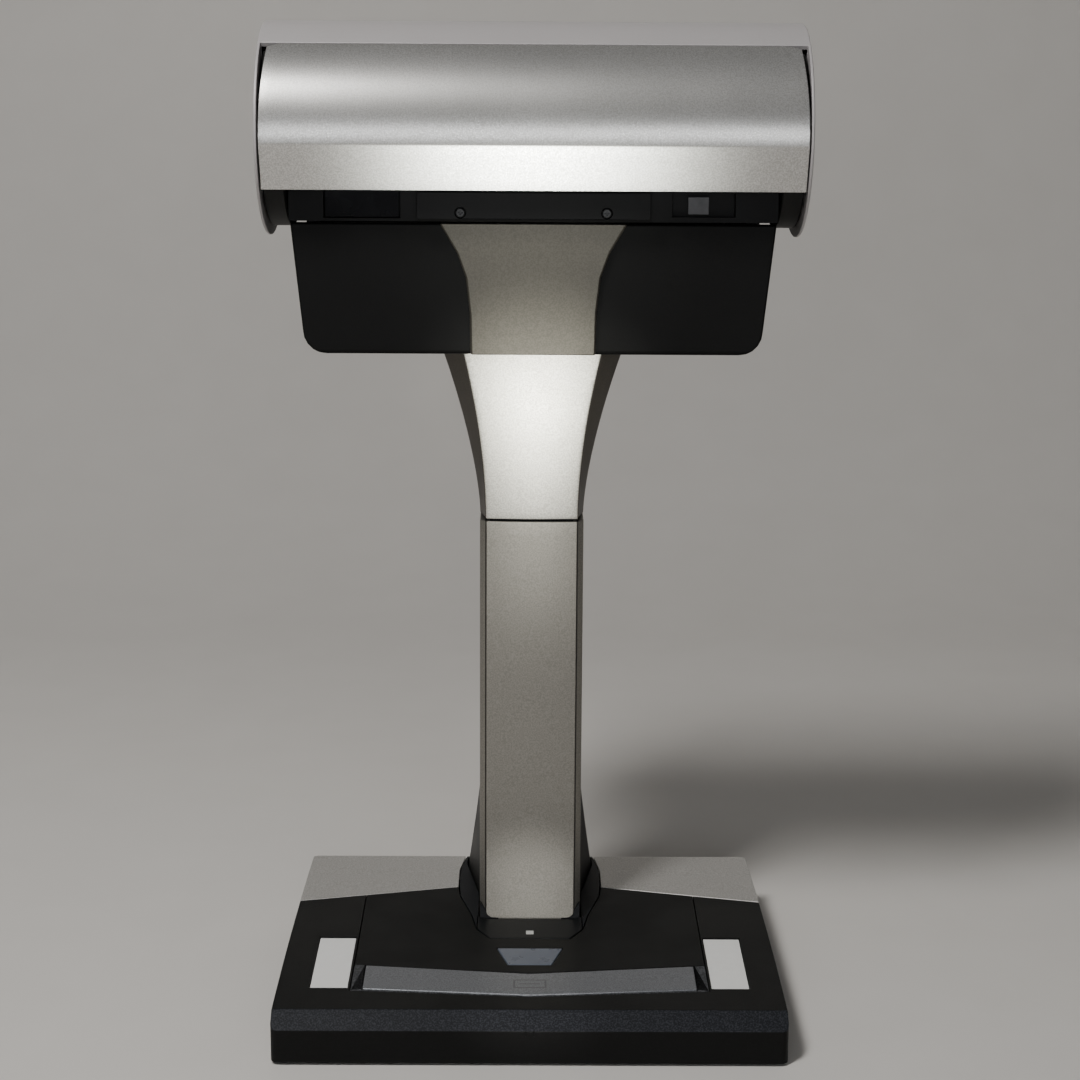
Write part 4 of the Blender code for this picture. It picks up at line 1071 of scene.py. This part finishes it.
# The black sleeve is a dark piece put behind the gap to stand in for the shade inside it.
sleeve_outline = [(18.2, 19.2), (18.9, 20.4), (18.9, 57.0), (16.0, 59.6), (8.0, 59.7)]
sleeve_outline = sleeve_outline + [(-x, y) for x, y in reversed(sleeve_outline)]
sleeve_outline = sleeve_outline + [sleeve_outline[0]]
sleeve_rows = [[(x, y, z) for x, y in sleeve_outline] for z in SLEEVE_HEIGHTS]
shade_sleeve = loft("joint_shade_sleeve", sleeve_rows, 0.8, collar_black, 0.1)
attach(shade_sleeve, "stand")

# ------------------------------
# Chin housing: front and rear black mouldings under the turning head, with a painted plate let
# on the front that carries the column's line upwards. Moulded and screwed together from behind.
chin_black = moulding("chin_black", (0.004, 0.004, 0.0038), 0.5, 0.6, 0.03, **LOW_SHEEN)
refined("chin_front_cover", chin_black, 0.9, 28, 4)
refined("chin_rear_cover", chin_black, 0.6, 28, 3)
# The plate's silver paint is darkened far below the neck's and visor's: painted shade, with a warm tint.
PLATE_PAINTED_SHADE, PLATE_PAINTED_SHADE_DARK = (0.105, 0.098, 0.082), (0.085, 0.079, 0.066)
plate_shaded_paint = silver_paint("plate_shaded_paint", PLATE_PAINTED_SHADE, PLATE_PAINTED_SHADE_DARK, 0.4)
refined("chin_centre_plate", plate_shaded_paint, 0.22, 20)

# ------------------------------
# Drive, out of sight under the head: a blackened steel chassis with two bearing arms and brass
# bushes, and a small motor on its bracket whose pinion turns the head's toothed sector.
BRASS = (0.62, 0.46, 0.2)

black_oxide = steel("black_oxide", (0.05, 0.05, 0.052), 0.5, roughness=0.45)
dress(black_oxide, "head_chassis")
dress(plate_steel, "motor_bracket")
brass = steel("bush_brass", BRASS, 0.8, (1, 1, 1), 0.3)
dress(brass, "axle_bush_left", "axle_bush_right", "motor_pinion")
refined("drive_motor", steel("motor_can", (0.5, 0.5, 0.51), 0.7, (0.05, 1, 1), 0.28), 0.4)
nylon = moulding("gear_nylon", (0.72, 0.70, 0.63), 0.42, 0.8, 0.01, 1.08)
dress(nylon, "sector_gear")

# ------------------------------
# Optics, riding in the turning head: a blackened steel frame on two stub axles, the lens, mirror,
# sensor and lamp boards, and the black fascia with lamp window, screwed bar and sensor recess.
dress(black_oxide, "optics_frame")
dress(plate_steel, "head_axle_left", "head_axle_right")
lens_black = moulding("lens_black", (0.012, 0.012, 0.012), 0.3, 0.4, 0.01)
refined("lens_barrel", lens_black, 0.3)

SILVERED, SILVERED_LIGHT = (0.84, 0.86, 0.88), (0.9, 0.92, 0.93)
silvered = clouded("silvered_glass", SILVERED, SILVERED_LIGHT, 14, 0.03, 0.05, 3, 1.0)
dress(silvered.material, "fold_mirror")

FASCIA_HALF = 91.4
FASCIA_BOTTOM, FASCIA_TOP = 318.0, 330.6
FASCIA_FRONT, FASCIA_BACK = -31.0, -26.0
POCKET_BACK = -28.4
BAR_HALF = 43.4
BAR_SCREW_RADIUS, BAR_SCREW_HEIGHT = 1.7, 1.3
SEAT_RADIUS = 2.1
bar_screw_nodes = ["bar_screw_left", "bar_screw_right"]
fascia_black = moulding("fascia_black", (0.004, 0.004, 0.0042), 0.45, 0.5, 0.02, **LOW_SHEEN)
fascia_outline = rectangle(-FASCIA_HALF, FASCIA_BOTTOM, FASCIA_HALF, FASCIA_TOP)
fascia = prism("optics_fascia_surface", fascia_outline, FASCIA_FRONT, FASCIA_BACK, "Y")
pockets = [
    prism("lamp_pocket", rectangle(-78.2, 319.2, -49.8, 329.6), -40, POCKET_BACK, "Y"),
    prism("sensor_pocket", rectangle(51.8, 320.0, 75.2, 328.6), -40, POCKET_BACK, "Y"),
]
finished(cut(fascia, pockets), fascia_black, "optics_fascia", 0.2)
bar_section = [(-31.3, 318.2), (-31.3, FASCIA_TOP)]
for step in range(9):
    turn = math.pi / 2 * (1 + step / 8)
    bar_section.append((-33.6 + 2.2 * math.cos(turn), 328.4 + 2.2 * math.sin(turn)))
bar_section += [(-35.8, 319.4), (-34.8, 318.2)]
screw_seats = []
for node in bar_screw_nodes:
    centre = middle_of(node)
    turns = [2 * math.pi * step / 32 for step in range(32)]
    seat = [
        (centre.x + SEAT_RADIUS * math.cos(turn), centre.z + SEAT_RADIUS * math.sin(turn)) for turn in turns
    ]
    screw_seats.append(prism("screw_seat", seat, -40, -34.6, "Y"))
optics_bar = prism("optics_bar_surface", bar_section, -BAR_HALF, BAR_HALF, "X")
finished(cut(optics_bar, screw_seats), fascia_black, "optics_bar", 0.2)

SMOKE, SMOKE_LIGHT = (0.005, 0.005, 0.006), (0.01, 0.01, 0.0115)
window_glass = clouded("smoked_window", SMOKE, SMOKE_LIGHT, 9, 0.06, 0.06, specular_ior_level=0.3)
refined("lamp_window", window_glass.material, 0.2)
CLEAR_DARK, CLEAR_LIGHT = (0.05, 0.05, 0.055), (0.14, 0.14, 0.148)
sensor_glass = clouded(
    "sensor_glass", CLEAR_DARK, CLEAR_LIGHT, 5, 0.08, 0.08, coat_weight=0.8, coat_roughness=0.04
)
refined("sensor_window", sensor_glass.material, 0.3)

bar_screw_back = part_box(bar_screw_nodes[0])[1].y / MM
bar_screw_places = [(middle_of(node).x, bar_screw_back, middle_of(node).z) for node in bar_screw_nodes]
screw_set(
    "bar_screw_heads", bar_screw_nodes, bar_screw_places,
    BAR_SCREW_RADIUS, BAR_SCREW_HEIGHT, 0.8, 0.5, (math.pi / 2, 0.0, 0.0), black_oxide,
)

# ------------------------------
# Turning head: a light grey moulded shell over the top and back with a plate at each end, dark
# end caps inside it, and the painted front panel with its crease, which clips to the shell.
HEAD_CENTRE_Y = -1.0
HEAD_CENTRE_Z = 349.0
HEAD_RADIUS_Y = 47.0
HEAD_RISE = 42.0
HEAD_DROP = 38.5
VISOR_HALF = 100.4
VISOR_TOP_ANGLE = 127.2
CREASE_ANGLE = 183.9
LIP_ANGLE = 209.6
VISOR_ROWS = 44
VISOR_COLUMNS = 24
LIP_ROWS = 4
VISOR_WALL = 1.9
VISOR_SIDE_GAP = 0.3
VISOR_DRAW_IN = 2.1
CORNER_CUT = 4.5
VISOR_SILVER, VISOR_SILVER_DARK = (0.64, 0.63, 0.61), (0.43, 0.42, 0.4)

shell_grey = moulding("shell_grey", (0.37, 0.352, 0.35), 0.46, 0.5, 0.02, 1.12, 0.15)
refined("head_shell", shell_grey, 0.25, 40)
cap_dark = moulding("cap_dark", (0.012, 0.012, 0.0115), 0.5, 0.6, 0.02, **LOW_SHEEN)
refined("end_cap_left", cap_dark, 0.3, 35)
refined("end_cap_right", cap_dark, 0.3, 35)


def head_point(degrees):
    """A point on the head's side profile: 0 the rear, 90 the top, 180 the front."""
    turn = math.radians(degrees)
    rise = HEAD_RISE if math.sin(turn) >= 0 else HEAD_DROP
    return HEAD_CENTRE_Y + HEAD_RADIUS_Y * math.cos(turn), HEAD_CENTRE_Z + rise * math.sin(turn)


def visor_half(z):
    """Half the visor's width at a height: it draws in above the crease."""
    crease_z = head_point(CREASE_ANGLE)[1]
    top_z = head_point(VISOR_TOP_ANGLE)[1]
    rise = max(0.0, (z - crease_z) / (top_z - crease_z))
    return VISOR_HALF - VISOR_SIDE_GAP - VISOR_DRAW_IN * rise * rise


visor_paint = silver_paint("visor_paint", VISOR_SILVER, VISOR_SILVER_DARK, 0.25)
lip, crease = head_point(LIP_ANGLE), head_point(CREASE_ANGLE)
profile = []
for step in range(LIP_ROWS + 1):
    share = step / LIP_ROWS
    profile.append((lip[0] + (crease[0] - lip[0]) * share, lip[1] + (crease[1] - lip[1]) * share))
for step in range(1, VISOR_ROWS + 1):
    profile.append(head_point(CREASE_ANGLE + (VISOR_TOP_ANGLE - CREASE_ANGLE) * step / VISOR_ROWS))
corner_foot = head_point(VISOR_TOP_ANGLE + 2.2)[1]
top_edge = profile[-1][1]
sections = []
for y, z in profile:
    half = visor_half(z)
    if z > corner_foot:
        half -= CORNER_CUT * (z - corner_foot) / (top_edge - corner_foot)
    sections.append([
        (half * column / VISOR_COLUMNS, y, z) for column in range(-VISOR_COLUMNS, VISOR_COLUMNS + 1)
    ])
visor = loft("visor_panel_surface", sections, VISOR_WALL, visor_paint, 0.25)
stand_in(visor, "visor_front_panel")
